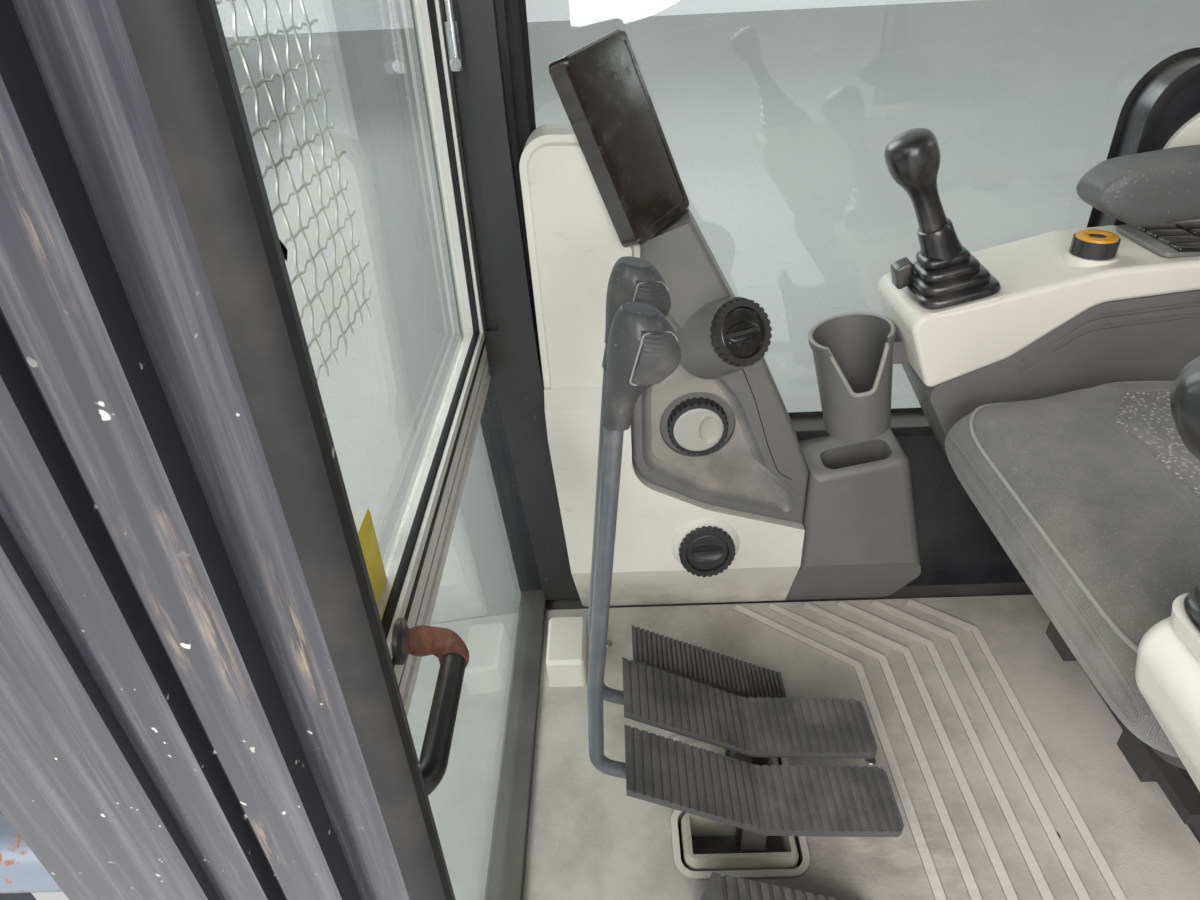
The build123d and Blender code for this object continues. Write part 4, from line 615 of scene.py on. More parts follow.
def woven(name, colour, axes=(0, 1), pitch=0.0021, dots=False):
    """Woven cloth: threads over and under in two directions, painted shade in the hollows and painted highlight on the
    threads' crowns, pale slubs, dust in clouds.
    """
    f = Finish(name, colour, 0.9, sheen_weight=0.25, sheen_roughness=0.5)
    place = f.axes()
    a, b = place[axes[0]], place[axes[1]]
    turn = 2 * np.pi / pitch
    warp = f.math("SINE", a * turn)
    weft = f.math("SINE", b * turn)
    check = warp * weft
    thread = f.math("ABSOLUTE", warp) * f.rise(check, -0.2, 0.2) + f.math("ABSOLUTE", weft) * f.rise(0.0 - check, -0.2, 0.2)
    cloud = f.noise(6.0, 5.0, 0.6)
    slub = f.noise(420.0, 3.0, 0.7)
    # Painted shade in the weave's hollows and painted highlight on its crowns
    tone = f.blend(f.rise(thread, 0.25, 0.95), dimmed(colour, 0.60), dimmed(colour, 1.35))
    tone = f.blend(f.rise(slub, 0.56, 0.74) * 0.5, tone, (0.42, 0.41, 0.38))
    if dots:
        ring = f.cells(165.0, f.where(), "F1")
        tone = f.blend(f.rise(0.36 - ring, 0.0, 0.08) * f.rise(slub, 0.34, 0.52) * 0.8, tone, (0.46, 0.455, 0.43))
    tone = f.blend(f.rise(cloud, 0.42, 0.72) * 0.28, tone, DUST)
    return f.wear(base_color=tone, normal=f.bump(thread + slub * 0.8, 0.0006, 0.55))


def vinyl(name, colour):
    """Padded vinyl: leather grain, dust on top and pale specks."""
    f = Finish(name, colour, 0.48)
    cloud = f.noise(11.0, 5.0, 0.65)
    up = f.rise(f.facing(), 0.2, 0.95)
    crack = f.cells(420.0, None, "DISTANCE_TO_EDGE")
    tone = f.blend(up * f.rise(cloud, 0.3, 0.7) * 0.42, colour, (0.24, 0.23, 0.215))
    tone = f.blend(f.rise(f.noise(240.0, 3.0, 0.7), 0.60, 0.72) * 0.35, tone, DUST)
    relief = f.rise(crack, 0.0, 0.12) + f.noise(90.0, 3.0) * 0.5
    return f.wear(base_color=tone, roughness=0.44 + up * 0.12, normal=f.bump(relief, 0.0003, 0.5))


def bare_metal(name, colour, roughness=0.32, dirt=0.3, along=(1.0, 12.0, 12.0), metal=1.0):
    """Drawn or rolled metal: fine lines along its run, dull patches and dirt."""
    f = Finish(name, colour, roughness, metallic=metal)
    line = f.noise(90.0, 4.0, 0.6, f.where(scale=along))
    cloud = f.noise(13.0, 5.0, 0.6)
    soil = f.rise(cloud, 0.48, 0.72) * dirt
    tone = f.blend(f.rise(line, 0.3, 0.7), dimmed(colour, 0.82), dimmed(colour, 1.08))
    tone = f.blend(soil, tone, (0.17, 0.15, 0.12))
    return f.wear(
        base_color=tone,
        metallic=metal - soil * (0.8 * metal),
        roughness=roughness + soil * 0.45 + f.rise(line, 0.3, 0.7) * 0.08,
        normal=f.bump(line, 0.0002, 0.35),
    )


def guard_paint(name, colour):
    """Black guard bars on blue-grey tubes: rust in blotches, more on the tubes, and dull scuffs."""
    f = Finish(name, colour, 0.5)
    x, y, z = f.axes()
    stub = f.rise(y + 0.924, 0.0, 0.003)
    blotch = f.noise(38.0, 5.0, 0.65)
    fleck = f.noise(160.0, 4.0, 0.7)
    rust = f.rise(blotch * 0.6 + fleck * 0.4, 0.525, 0.60)
    tone = f.blend(f.rise(f.noise(9.0, 4.0), 0.4, 0.7), colour, dimmed(colour, 2.2))
    tone = f.blend(stub, tone, (0.13, 0.155, 0.19))
    tone = f.blend(rust * (0.22 + stub * 0.75), tone, RUST)
    tone = f.blend(f.rise(fleck, 0.70, 0.76) * 0.5, tone, (0.36, 0.30, 0.23))
    rough = 0.42 + rust * 0.4
    return f.wear(base_color=tone, roughness=rough, normal=f.bump(blotch + fleck * 0.5, 0.0005, 0.5))


def pane(name, tint):
    """Window glass: clear with a faint tint, gloss by the angle, dust in veils, dots and wiped scratches."""
    f = Finish(name, (0.62, 0.62, 0.58), 0.75)
    cloud = f.noise(3.2, 3.0, 0.62)
    speck = f.rise(f.noise(330.0, 1.0, 0.7), 0.66, 0.74)
    wipe = f.rise(f.noise(22.0, 4.0, 0.72, f.where(scale=(1.0, 0.7, 3.2), turn=(0.5, 0.2, 0.2))), 0.60, 0.70)
    veil = f.rise(cloud, 0.45, 0.85) * 0.09 + speck * 0.16 + wipe * 0.05 + 0.012
    clear = f.node("ShaderNodeBsdfTransparent", {}, {0: tint})
    gloss = f.node("ShaderNodeBsdfGlossy", {}, {"Color": (1.0, 1.0, 1.0, 1.0), "Roughness": 0.015})
    angle = f.node("ShaderNodeLayerWeight", {}, {"Blend": 0.5}, output=1) ** 5.0 * 0.96 + 0.04
    glass = f.node("ShaderNodeMixShader", {}, {0: angle, 1: clear, 2: gloss})
    dusty = f.node("ShaderNodeMixShader", {}, {0: veil, 1: glass, 2: Socket(f, f.shader.outputs[0])})
    f.tree.links.new(dusty.output, f.end.inputs[0])
    return f.material


def plain_gloss(name, colour, roughness=0.2, dust=0.15, coat=0.0):
    """Smooth moulded surface: even tone, a little dust, fingerprints in its gloss."""
    f = Finish(name, colour, roughness, coat_weight=coat, coat_roughness=0.08)
    cloud = f.noise(18.0, 5.0, 0.6)
    mark = f.rise(f.noise(55.0, 5.0, 0.65), 0.48, 0.68)
    tone = f.blend(f.rise(cloud, 0.42, 0.75) * dust, colour, DUST)
    return f.wear(base_color=tone, roughness=roughness + mark * 0.18, normal=f.bump(mark, 0.0001, 0.3))


def taped(name, colour):
    """Reddish-brown tape over black paint, frayed and rubbed."""
    f = Finish(name, colour, 0.65)
    cloud = f.noise(34.0, 5.0, 0.6)
    tone = f.blend(f.rise(cloud, 0.38, 0.66), dimmed(colour, 0.55), dimmed(colour, 1.25))
    tone = f.blend(f.rise(f.noise(140.0, 4.0, 0.7), 0.60, 0.70) * 0.5, tone, (0.42, 0.30, 0.22))
    return f.wear(base_color=tone, normal=f.bump(cloud + f.noise(260.0, 3.0), 0.0008, 0.6))


def rubber_seal(name, colour):
    """Matt black seal rubber with a light bloom."""
    f = Finish(name, colour, 0.62, specular_ior_level=0.25)
    cloud = f.noise(26.0, 5.0, 0.6)
    tone = f.blend(f.rise(cloud, 0.42, 0.75) * 0.12, colour, (0.16, 0.15, 0.135))
    return f.wear(base_color=tone, roughness=0.55 + f.rise(cloud, 0.3, 0.8) * 0.2, normal=f.bump(cloud, 0.0004, 0.4))


def label_film(name, colour):
    """A plain film label: slightly faded and dusty."""
    f = Finish(name, colour, 0.35)
    cloud = f.noise(24.0, 5.0, 0.6)
    tone = f.blend(f.rise(cloud, 0.40, 0.72) * 0.30, colour, dimmed(colour, 0.72))
    tone = f.blend(f.rise(f.noise(300.0, 3.0), 0.64, 0.72) * 0.5, tone, DUST)
    return f.wear(base_color=tone, roughness=0.3 + f.rise(cloud, 0.3, 0.8) * 0.25, normal=f.bump(cloud, 0.0002, 0.3))


def finishes(colours):
    """Every finish by its name, made once."""
    if "seal" in made:
        return made
    c = {key: tuple(getattr(colours, key)) for key in CabColours.__annotations__}
    made.update(
        shell=gloss_paint("shell_paint", c["frame_paint"]),
        # The left frame wears the shell's paint made lighter: a painted lit copy of the same paint
        pillar=pillar_paint("pillar_paint", dimmed(c["frame_paint"], 1.8)),
        roof=gloss_paint("roof_paint", c["frame_paint"], streaks=False),
        floor=gloss_paint("floor_paint", (0.05, 0.05, 0.052), chips=0.35),
        sash=bare_metal("sash_alloy", (0.74, 0.72, 0.66), 0.38, 0.18, (1.0, 20.0, 20.0), 0.25),
        wire=bare_metal("mesh_wire", (0.52, 0.50, 0.46), 0.42, 0.45, (6.0, 6.0, 6.0)),
        chrome=bare_metal("strut_chrome", (0.70, 0.71, 0.72), 0.16, 0.15, (14.0, 14.0, 1.0)),
        guard=guard_paint("guard_paint", (0.014, 0.014, 0.015)),
        glass=pane("pane_glass", c["glass_tint"]),
        light=grained_plastic("light_plastic", c["light_plastic"], 0.18),
        shell_plastic=shell_plastic("shell_plastic", c["light_plastic"]),
        core=core_plastic("core_plastic", c["grey_plastic"]),
        grey=grained_plastic("grey_plastic", c["grey_plastic"], 0.32),
        holder_rim=grained_plastic("holder_rim", (0.27, 0.26, 0.235), 0.4),
        dusty_disc=grained_plastic("dusty_disc", (0.36, 0.35, 0.31), 0.45),
        black=grained_plastic("black_plastic", c["black_plastic"], 0.10, 1100.0, 0.40),
        gloss_black=plain_gloss("gloss_black", (0.012, 0.012, 0.012), 0.16, 0.06, 0.4),
        stick_gloss=plain_gloss("stick_gloss", (0.013, 0.013, 0.0135), 0.30, 0.10, 0.25),
        screen=plain_gloss("screen_gloss", (0.020, 0.014, 0.010), 0.10, 0.02, 0.5),
        mat=mat_rubber("mat_rubber", c["mat_rubber"]),
        pad=pad_rubber("pad_rubber", c["pad_rubber"]),
        boot=pad_rubber("boot_rubber", (0.42, 0.39, 0.32), 0.3),
        iron=pad_rubber("valve_iron", (0.07, 0.068, 0.064), 0.4),
        base_black=grained_plastic("base_black", (0.030, 0.030, 0.031), 0.22, 500.0),
        cloth=woven("seat_cloth", c["seat_cloth"]),
        cloth_back=woven("back_cloth", c["seat_cloth"], (0, 2)),
        insert=woven("insert_cloth", dimmed(c["seat_cloth"], 0.8), (0, 1), 0.0026, True),
        insert_back=woven("insert_back_cloth", dimmed(c["seat_cloth"], 0.8), (0, 2), 0.0026, True),
        piping=plain_gloss("piping", (0.30, 0.29, 0.27), 0.6, 0.2),
        vinyl=vinyl("armrest_vinyl", c["armrest_vinyl"]),
        rod=lever_paint("rod_paint", c["rod_paint"], (0.050, 0.050, 0.051)),
        grip=plain_gloss("grip_rubber", (0.060, 0.060, 0.060), 0.42, 0.25),
        handle=plain_gloss("handle_paint", (0.018, 0.017, 0.017), 0.35, 0.12),
        tape=taped("handle_tape", (0.23, 0.085, 0.05)),
        latch=plain_gloss("latch_brown", (0.060, 0.042, 0.036), 0.38, 0.2),
        decal=label_film("blank_decal", c["decal"]),
        amber=plain_gloss("amber_ring", (0.62, 0.30, 0.02), 0.35, 0.1),
        seal=rubber_seal("seal_rubber", (0.014, 0.014, 0.014)),
        steel=bare_metal("bolt_steel", (0.35, 0.34, 0.33), 0.4, 0.5, (4.0, 4.0, 4.0)),
    )
    return made


made = {}

NODE_FINISHES = {
    "shell": ["right_frame", "front_frame", "rear_wall", "base_frame", "door_frame"],
    "pillar": ["left_frame"],
    "roof": ["roof_panel", "roof_hatch"],
    "floor": ["floor_plate"],
    "mat": ["floor_mat"],
    "sash": ["windscreen_sash"],
    "glass": ["windscreen_glass", "fixed_windows", "door_glass"],
    "guard": ["guard_frame"],
    "black": ["pillar_trim", "air_vents", "control_dial", "seat_levers"],
    "chrome": ["windscreen_strut"],
    "shell_plastic": ["console_shell"],
    "core": ["console_core"],
    "grey": ["cup_tray", "bottle_holder", "right_console_body"],
    "light": ["right_console_cover", "left_console", "floor_box"],
    "screen": ["monitor"],
    "base_black": ["seat_base"],
    "rod": ["left_travel_lever", "right_travel_lever"],
    "pad": ["left_travel_pad", "right_travel_pad", "foot_pads"],
    "iron": ["pedal_pivots"],
    "boot": ["pedal_boots"],
    "handle": ["sash_handle"],
}


# ---------------------------------------------------------------- pieces


class Step(bpy.types.Operator):
    """Shared by the operators: the sizes and the finishes."""

    bl_idname = "cab.step"
    bl_label = "Cab step"

    @property
    def sizes(self):
        return bpy.context.scene.cab_sizes

    @property
    def looks(self):
        return finishes(bpy.context.scene.cab_colours)

    def execute(self, context):
        self.make()
        return {"FINISHED"}


class CAB_OT_finishes(Step):
    """Gives every solid of the cab its finish"""

    bl_idname = "cab.finishes"
    bl_label = "Finish the solids"

    def make(self):
        for finish, nodes in NODE_FINISHES.items():
            for node in nodes:
                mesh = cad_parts[node].data
                mesh.materials.clear()
                mesh.materials.append(self.looks[finish])


class CAB_OT_wire_mesh(Step):
    """Weaves the guard's crimped wires in place of the plain mesh

    A wire follows a cosine across the mesh whose half wave is one opening, and
    its neighbours start half a wave later, so that the two sets pass over and under.
    """

    bl_idname = "cab.wire_mesh"
    bl_label = "Wire mesh"

    def wire(self, along, place, phase, pitch, upright):
        """One wire: its run, its swing across the mesh and a slight wander in the plane."""
        crimp = self.sizes.wire_crimp / MM
        swing = GUARD_FACE - 4.0 + crimp * np.cos(np.pi * (along - phase) / pitch)
        wander = place + 1.6 * np.sin(2 * np.pi * (along - phase) / pitch)
        if upright:
            return np.stack([wander, swing, along], -1)
        return np.stack([along, swing, wander], -1)

    def make(self):
        radius = self.sizes.wire_radius / MM
        up_pitch = self.sizes.upright_pitch / MM
        level_pitch = self.sizes.level_pitch / MM
        left, right, low, high = 437, -360, 710, 1620
        xs = np.arange(left, right, -up_pitch) - 3
        zs = np.arange(high - 8, low + 4, -level_pitch)
        wires = Surface()
        for index, x in enumerate(xs):
            z = np.linspace(low - 5 * (index * 7 % 3), high, 220)
            path = self.wire(z, x, zs[0] + level_pitch * (index % 2), level_pitch, True)
            wires.add(tube(path, radius, (0, 1, 0.0001), 5), ends=True)
        for index, z in enumerate(zs):
            x = np.linspace(right + 4 * (index * 5 % 4), left, 200)
            path = self.wire(x, z, xs[0] + up_pitch * (1 + index % 2), up_pitch, False)
            wires.add(tube(path, radius, (0, 1, 0.0001), 5), ends=True)
        mesh = wires.piece("wire_mesh", "cab", self.looks["wire"], "mesh_steel")
        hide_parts("guard_mesh")
        strips = Surface()
        for x in (357, 437):
            line = [(x, low + 6, 0), (x, high - 4, 0)]
            strips.add(stood(framed(line, slab(20, 3, 0.8), False), "front", GUARD_FACE - 1.5), ends=True)
        strips.piece("mesh_strips", "cab", self.looks["guard"], "guard_paint")


class CAB_OT_seat(Step):
    """Swells the seat's cushion and back, with their inserts, channels and piping

    Each pad is a superellipse over its middle surface. A channel lowers it by a
    Gaussian of the distance to the seam, and the piping follows the pad at the same
    place of the square, moved out along the pad's own normal.
    """

    bl_idname = "cab.seat"
    bl_label = "Seat"

    def channel(self, x, y, seams):
        """Depth of the sewn seams: a narrow Gaussian of the distance to each line of a table."""
        depth = 0.0 * x
        for (ax, ay), (bx, by) in seams:
            run = np.array([bx - ax, by - ay], float)
            t = np.clip(((np.abs(x) - ax) * run[0] + (y - ay) * run[1]) / (run @ run), 0, 1)
            distance = np.hypot(np.abs(x) - ax - t * run[0], y - ay - t * run[1])
            depth = np.maximum(depth, 4.2 * np.exp(-((distance / 4.6) ** 2)))
        return depth

    def cushion_half(self, v):
        """Half the cushion's width: drawn in at the corners of the plan and a little at the middle."""
        corner = np.clip((-v - 0.72) / 0.28, 0, 1)
        return (SEAT_HALF - 1.5) * (1 - 0.10 * (1 - np.sqrt(1 - 0.98 * corner**2))) * (1 - 0.012 * np.cos(v * np.pi))

    def cushion_place(self, u, v):
        """The cushion's middle surface: level, with its side line along Y."""
        up = np.zeros(u.shape + (3,))
        up[..., 2] = 1.0
        return np.stack([u * self.cushion_half(v), 42.0 + 226.0 * v, 540.0 + 0 * u], -1), up

    def cushion_up(self, u, v):
        """Height of the top over the middle: nose, crest, the slope to the rear and the side bolsters."""
        y = 42.0 + 226.0 * v
        crest = np.interp(y, [-186, -150, -60, 60, 180, 270], [52, 68, 76, 73, 62, 50])
        crown = self.sizes.cushion_crown / MM * (1 - u**2) * (1 - v**2)
        behind = np.clip((y + 90) / 110, 0, 1)
        bolster = 28.0 * np.exp(-(((np.abs(u) - 0.93) / 0.11) ** 2)) * behind**2 * (3 - 2 * behind)
        sink = 5.0 * np.clip((y + 60) / 60, 0, 1) * (1 - np.clip(np.abs(u) / 0.86, 0, 1) ** 4)
        return crest - 1.5 + crown + bolster - sink - self.channel(u * self.cushion_half(v), y, CUSHION_SEAMS)

    def cushion_down(self, u, v):
        y = 42.0 + 226.0 * v
        return np.interp(y, [-186, -140, -100, 270], [48, 66, 78, 79])

    def back_place(self, u, v):
        """The back's middle leans with the seat: Y grows with the height, Z runs along v."""
        z = 830.0 + 348.0 * v
        y = np.interp(z, [462, 600, 680, 1180], [333, 332, 331, 365])
        half = (BACK_HALF - 1.0) * (1 - 0.16 * np.clip((v + 0.1) / 1.1, 0, 1) ** 2)
        up = np.zeros(u.shape + (3,))
        up[..., 1] = -1.0
        return np.stack([u * half, y + 0 * u, z + 0 * u], -1), up

    def back_up(self, u, v):
        z = 830.0 + 348.0 * v
        front = np.interp(z, [462, 600, 680, 900, 1180], [58, 58, 70, 52, 33])
        bolster = 12.0 * np.exp(-(((np.abs(u) - 0.82) / 0.16) ** 2)) * np.clip(1 - v, 0, 1)
        crown = 6.0 * (1 - u**2) * (1 - v**2)
        return front - 9.0 + crown + bolster - self.channel(u * BACK_HALF, z, BACK_SEAMS)

    def back_down(self, u, v):
        return 55.0 - 12.0 * np.abs(v) ** 3 - 16.0 * np.clip(v, 0, 1)

    def on_pad(self, place, up_height, u, v, power=7.0, lift=0.0):
        """Points of a pad's front at places of the square, lifted along its direction."""
        swell = ((1 - np.abs(u) ** power) * (1 - np.abs(v) ** power)) ** (2 / power)
        middle, up = place(u, v)
        return middle + up * (up_height(u, v) * swell + lift)[..., None]

    def pad(self, name, node, place, up_height, down_height, finish):
        top, bottom = box_pad(place, up_height, down_height, (132, 132))
        shape = Surface().add(top, around=False).add(bottom, around=False)
        obj = shape.piece(name, "cab", self.looks[finish], "seat_fabric", merge=2e-5)
        obj.data.set_sharp_from_angle(angle=3.1)
        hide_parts(node)

    def insert(self, name, place, up_height, square, finish):
        """The middle panel: the pad's own surface, proud by the root of the distance to its edge."""
        s, t = np.meshgrid(np.linspace(-1, 1, 90), np.linspace(0, 1, 100), indexing="ij")
        u, v = square(s, t)
        edge = np.minimum(np.minimum(1 - s, 1 + s), np.minimum(t, 1 - t) * 1.5) / 0.06
        lift = 2.4 * np.clip(edge, 0, 1) ** 0.5 - 1.2
        face = self.on_pad(place, up_height, u, v, lift=lift)
        under = self.on_pad(place, up_height, u, v, lift=0 * lift - 3.5)
        shape = Surface().add(face, around=False).add(under, around=False)
        shape.piece(name, "cab", self.looks[finish], "seat_fabric")

    def cushion_square(self, s, t):
        """The insert's square on the cushion: its width grows along the slanted corners."""
        y = -39.0 + 290.0 * t
        v = (y - 42.0) / 226.0
        return s * np.interp(y, [-42, 8], [127, 196]) / self.cushion_half(v), v

    def back_square(self, s, t):
        """The insert's square on the back, narrower to its top."""
        z = 562.0 + 520.0 * t
        return s * np.interp(z, [560, 1090], [150, 112]) / BACK_HALF, (z - 830.0) / 348.0

    def piping(self, name, place, up_height, loop):
        """Tubes that follow the pad's edge at a fixed place of the square."""
        u, v = loop
        path = self.on_pad(place, up_height, u, v, lift=0.6)
        run = np.roll(path, -1, 0) - np.roll(path, 1, 0)
        run /= np.linalg.norm(run, axis=1, keepdims=True)
        side = np.cross(run, np.array([0.31, 0.52, 0.80]))
        side /= np.linalg.norm(side, axis=1, keepdims=True)
        lift = np.cross(side, run)
        a = np.linspace(0, 2 * np.pi, 8, endpoint=False)
        ring = np.cos(a)[None, :, None] * side[:, None] + np.sin(a)[None, :, None] * lift[:, None]
        grid = path[:, None] + self.sizes.piping_radius / MM * ring
        Surface().add(grid, along=True).piece(name, "cab", self.looks["piping"], "seat_fabric")

    def make(self):
        self.pad("seat_cushion_cover", "seat_cushion", self.cushion_place, self.cushion_up, self.cushion_down, "cloth")
        self.pad("seat_back_cover", "seat_back", self.back_place, self.back_up, self.back_down, "cloth_back")
        self.insert("cushion_insert", self.cushion_place, self.cushion_up, self.cushion_square, "insert")
        self.insert("back_insert", self.back_place, self.back_up, self.back_square, "insert_back")
        t = np.linspace(0, 2 * np.pi, 260, endpoint=False)
        square = np.maximum(np.abs(np.cos(t)) ** 9 + np.abs(np.sin(t)) ** 9, 1e-9) ** (-1 / 9)
        u, v = 0.968 * square * np.cos(t), 0.966 * square * np.sin(t)
        self.piping("cushion_piping", self.cushion_place, self.cushion_up, (u, v))
        self.piping("back_piping", self.back_place, self.back_up, (u, v))


class CAB_OT_armrests(Step):
    """Pads the two armrests over their posts

    A pad is the superellipse swell over a line that rises to the rear, and its
    plan is rounded at both ends.
    """

    bl_idname = "cab.armrests"
    bl_label = "Armrests"

    def make(self):
        rests = [
            # name, body, x, height of the post's foot
            ("right_armrest", "cab", -302, 755),
            ("left_armrest", "left_console", 330, 757),
        ]
        for name, body, x, foot in rests:

            def place(u, v, x=x):
                y = 144.0 + 185.0 * v
                z = np.interp(y, [-42, 20, 330], [831, 832, 853])
                width = 35.0 * (1 - 0.22 * np.clip((np.abs(v) - 0.8) / 0.2, 0, 1) ** 2)
                up = np.zeros(u.shape + (3,))
                up[..., 2] = 1.0
                return np.stack([x + u * width, y + 0 * u, z + 0 * u], -1), up

            def top(u, v):
                y = 144.0 + 185.0 * v
                return np.interp(y, [-42, -20, 60, 330], [24, 34, 38, 37]) * (1 + 0.04 * (1 - u**2))

            def bottom(u, v):
                y = 144.0 + 185.0 * v
                return np.interp(y, [-42, 10, 40, 330], [20, 38, 37, 32])

            upper, lower = box_pad(place, top, bottom, (56, 120), 7.0)
            shape = Surface().add(upper, around=False).add(lower, around=False)
            pad = shape.piece(f"{name}_pad", body, self.looks["vinyl"], "armrest_vinyl", merge=2e-5)
            pad.data.set_sharp_from_angle(angle=3.1)
            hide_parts(name)
            column = [(-20, -30, 6), (20, -30, 6), (20, 30, 6), (-20, 30, 6)]
            rows = [(x + a, 260 + b, r) for a, b, r in column]
            post = Surface().add(plate(rows, "level", foot, 72, 1.5), ends=True)
            post.piece(f"{name}_post", body, self.looks["black"], "black_plastic")


class CAB_OT_joysticks(Step):
    """Makes the joysticks: a bellows of four rounded lips, its skirt, the stem and the knob

    The bellows is a superellipse whose half sides step in with each lip and whose
    centre leans with the stem; the skirt, stem and knob are one profile turned about
    the stem's own axis.
    """

    bl_idname = "cab.joysticks"
    bl_label = "Joysticks"

    def make(self):
        sticks = [
            # name, body, foot, lean of the stem in degrees
            ("right_joystick", "cab", (-322, -168, 706), -25.5),
            ("left_joystick", "left_console", (318, -204, 741), -31.0),
        ]
        foot_lean = -14.0
        lip = [(0.0, 3.4), (1.6, 0.9), (4.4, 0.0), (8.0, 0.3), (11.0, 1.8), (12.8, 4.6), (14.0, 8.6), (14.6, 10.4)]
        rows = [(15.0 * tier + height, 7.0 * tier + inset) for tier in range(4) for height, inset in lip]
        height, inset = np.array(rows).T[:, :, None]
        a = np.linspace(0, 2 * np.pi, 72, endpoint=False)[None]
        wide, deep = 46.0 - inset, 50.0 - inset
        reach = (np.abs(np.cos(a)) ** 4.5 + np.abs(np.sin(a)) ** 4.5) ** (-1 / 4.5)
        profile = [(0.02, 50), (25, 50), (25, 53), (23.6, 60), (22.2, 70), (21.3, 82), (20.8, 92), (19.4, 94.6),
                   (16.6, 95.6), (16.4, 99), (15.8, 112), (15.4, 126), (15.8, 138), (17.6, 149), (21.4, 159),
                   (26.0, 168), (28.9, 177), (29.8, 186), (29.8, 196), (28.8, 203.5), (25.4, 210), (19, 214.3),
                   (10, 216.5), (0.02, 217)]
        for name, body, foot, lean in sticks:
            c, s = np.cos(np.radians(foot_lean)), np.sin(np.radians(foot_lean))
            shift = -height * np.tan(np.radians(foot_lean - lean))
            x = wide * reach * np.cos(a)
            y = deep * reach * np.sin(a) + shift
            rise = height + 0.0 * x
            rubber = np.stack([foot[0] + x, foot[1] + y * c + rise * s, foot[2] - y * s + rise * c], -1)
            axis = (0, np.sin(np.radians(lean)), np.cos(np.radians(lean)))
            stick = Surface().add(rubber, ends=True).add(turned(profile, foot, axis, 44))
            obj = stick.piece(name + "_shape", body, self.looks["stick_gloss"], "black_plastic")
            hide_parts(name)


class CAB_OT_grips(Step):
    """Puts an outlined panel with ribbed steps on each travel lever's grip

    The grip's half width, half length and shift are the polynomials of the height
    through its five sections, and a panel is a patch of that surface moved out along
    its normal; the ribs add half sine waves over the panel's top.
    """

    bl_idname = "cab.grips"
    bl_label = "Lever grips"

    def surface(self, x, height, angle, lift):
        """Points of a grip at heights along its own axis and angles about it, lifted outward."""
        levels = np.array([0.0, 20.0, 44.0, 66.0, 84.0])
        across, along, shift = (
            np.polyval(np.polyfit(levels, row, 4), height)
            for row in ([13, 17, 23, 22, 13], [14, 21, 30, 27, 15], [0, 5, 11, 8, 2])
        )
        normal = np.stack([np.cos(angle) / across, np.sin(angle) / along], -1)
        normal /= np.linalg.norm(normal, axis=-1, keepdims=True)
        a = across * np.cos(angle) + lift * normal[..., 0]
        b = shift + along * np.sin(angle) + lift * normal[..., 1]
        up, back = np.array([0.0, 0.190, 0.982]), np.array([0.0, 0.982, -0.190])
        return np.array([x, -606.0, 775.0]) + a[..., None] * np.array([1.0, 0, 0]) + b[..., None] * back + height[..., None] * up

    def make(self):
        for body, x in (("left_travel", 55), ("right_travel", -55)):
            s, t = np.meshgrid(np.linspace(-1, 1, 40), np.linspace(-1, 1, 90), indexing="ij")
            height, angle = 49.0 + 25.0 * t, np.radians(30.0 + (42.0 - 6.0 * t) * s)
            edge = np.clip(np.minimum(1 - np.abs(s), (1 - np.abs(t)) * 1.3) / 0.07, 0, 1) ** 0.5
            ribs = 0.9 * np.abs(np.sin((height - 58.0) * np.pi / 4.0)) * (height > 58.0) * (np.abs(s) < 0.86)
            panel = Surface().add(self.surface(x, height, angle, -1.4 + 4.0 * edge + ribs), around=False)
            panel.piece(f"{body}_grip_panel", body, self.looks["grip"], "black_plastic")
            loop = outline([(-1, -1, 0.3), (1, -1, 0.3), (1, 1, 0.3), (-1, 1, 0.3)], step=0.08) * 0.94
            height, angle = 49.0 + 25.0 * loop[:, 1], np.radians(30.0 + (42.0 - 6.0 * loop[:, 1]) * loop[:, 0])
            path = self.surface(x, height, angle, 2.6 + 0.0 * height)
            path = np.concatenate([path, path[:2]])
            rim = Surface().add(tube(path, 0.9, (0.80, 0.55, 0.25), 8), ends=True)
            rim.piece(f"{body}_grip_rim", body, self.looks["piping"], "black_plastic")


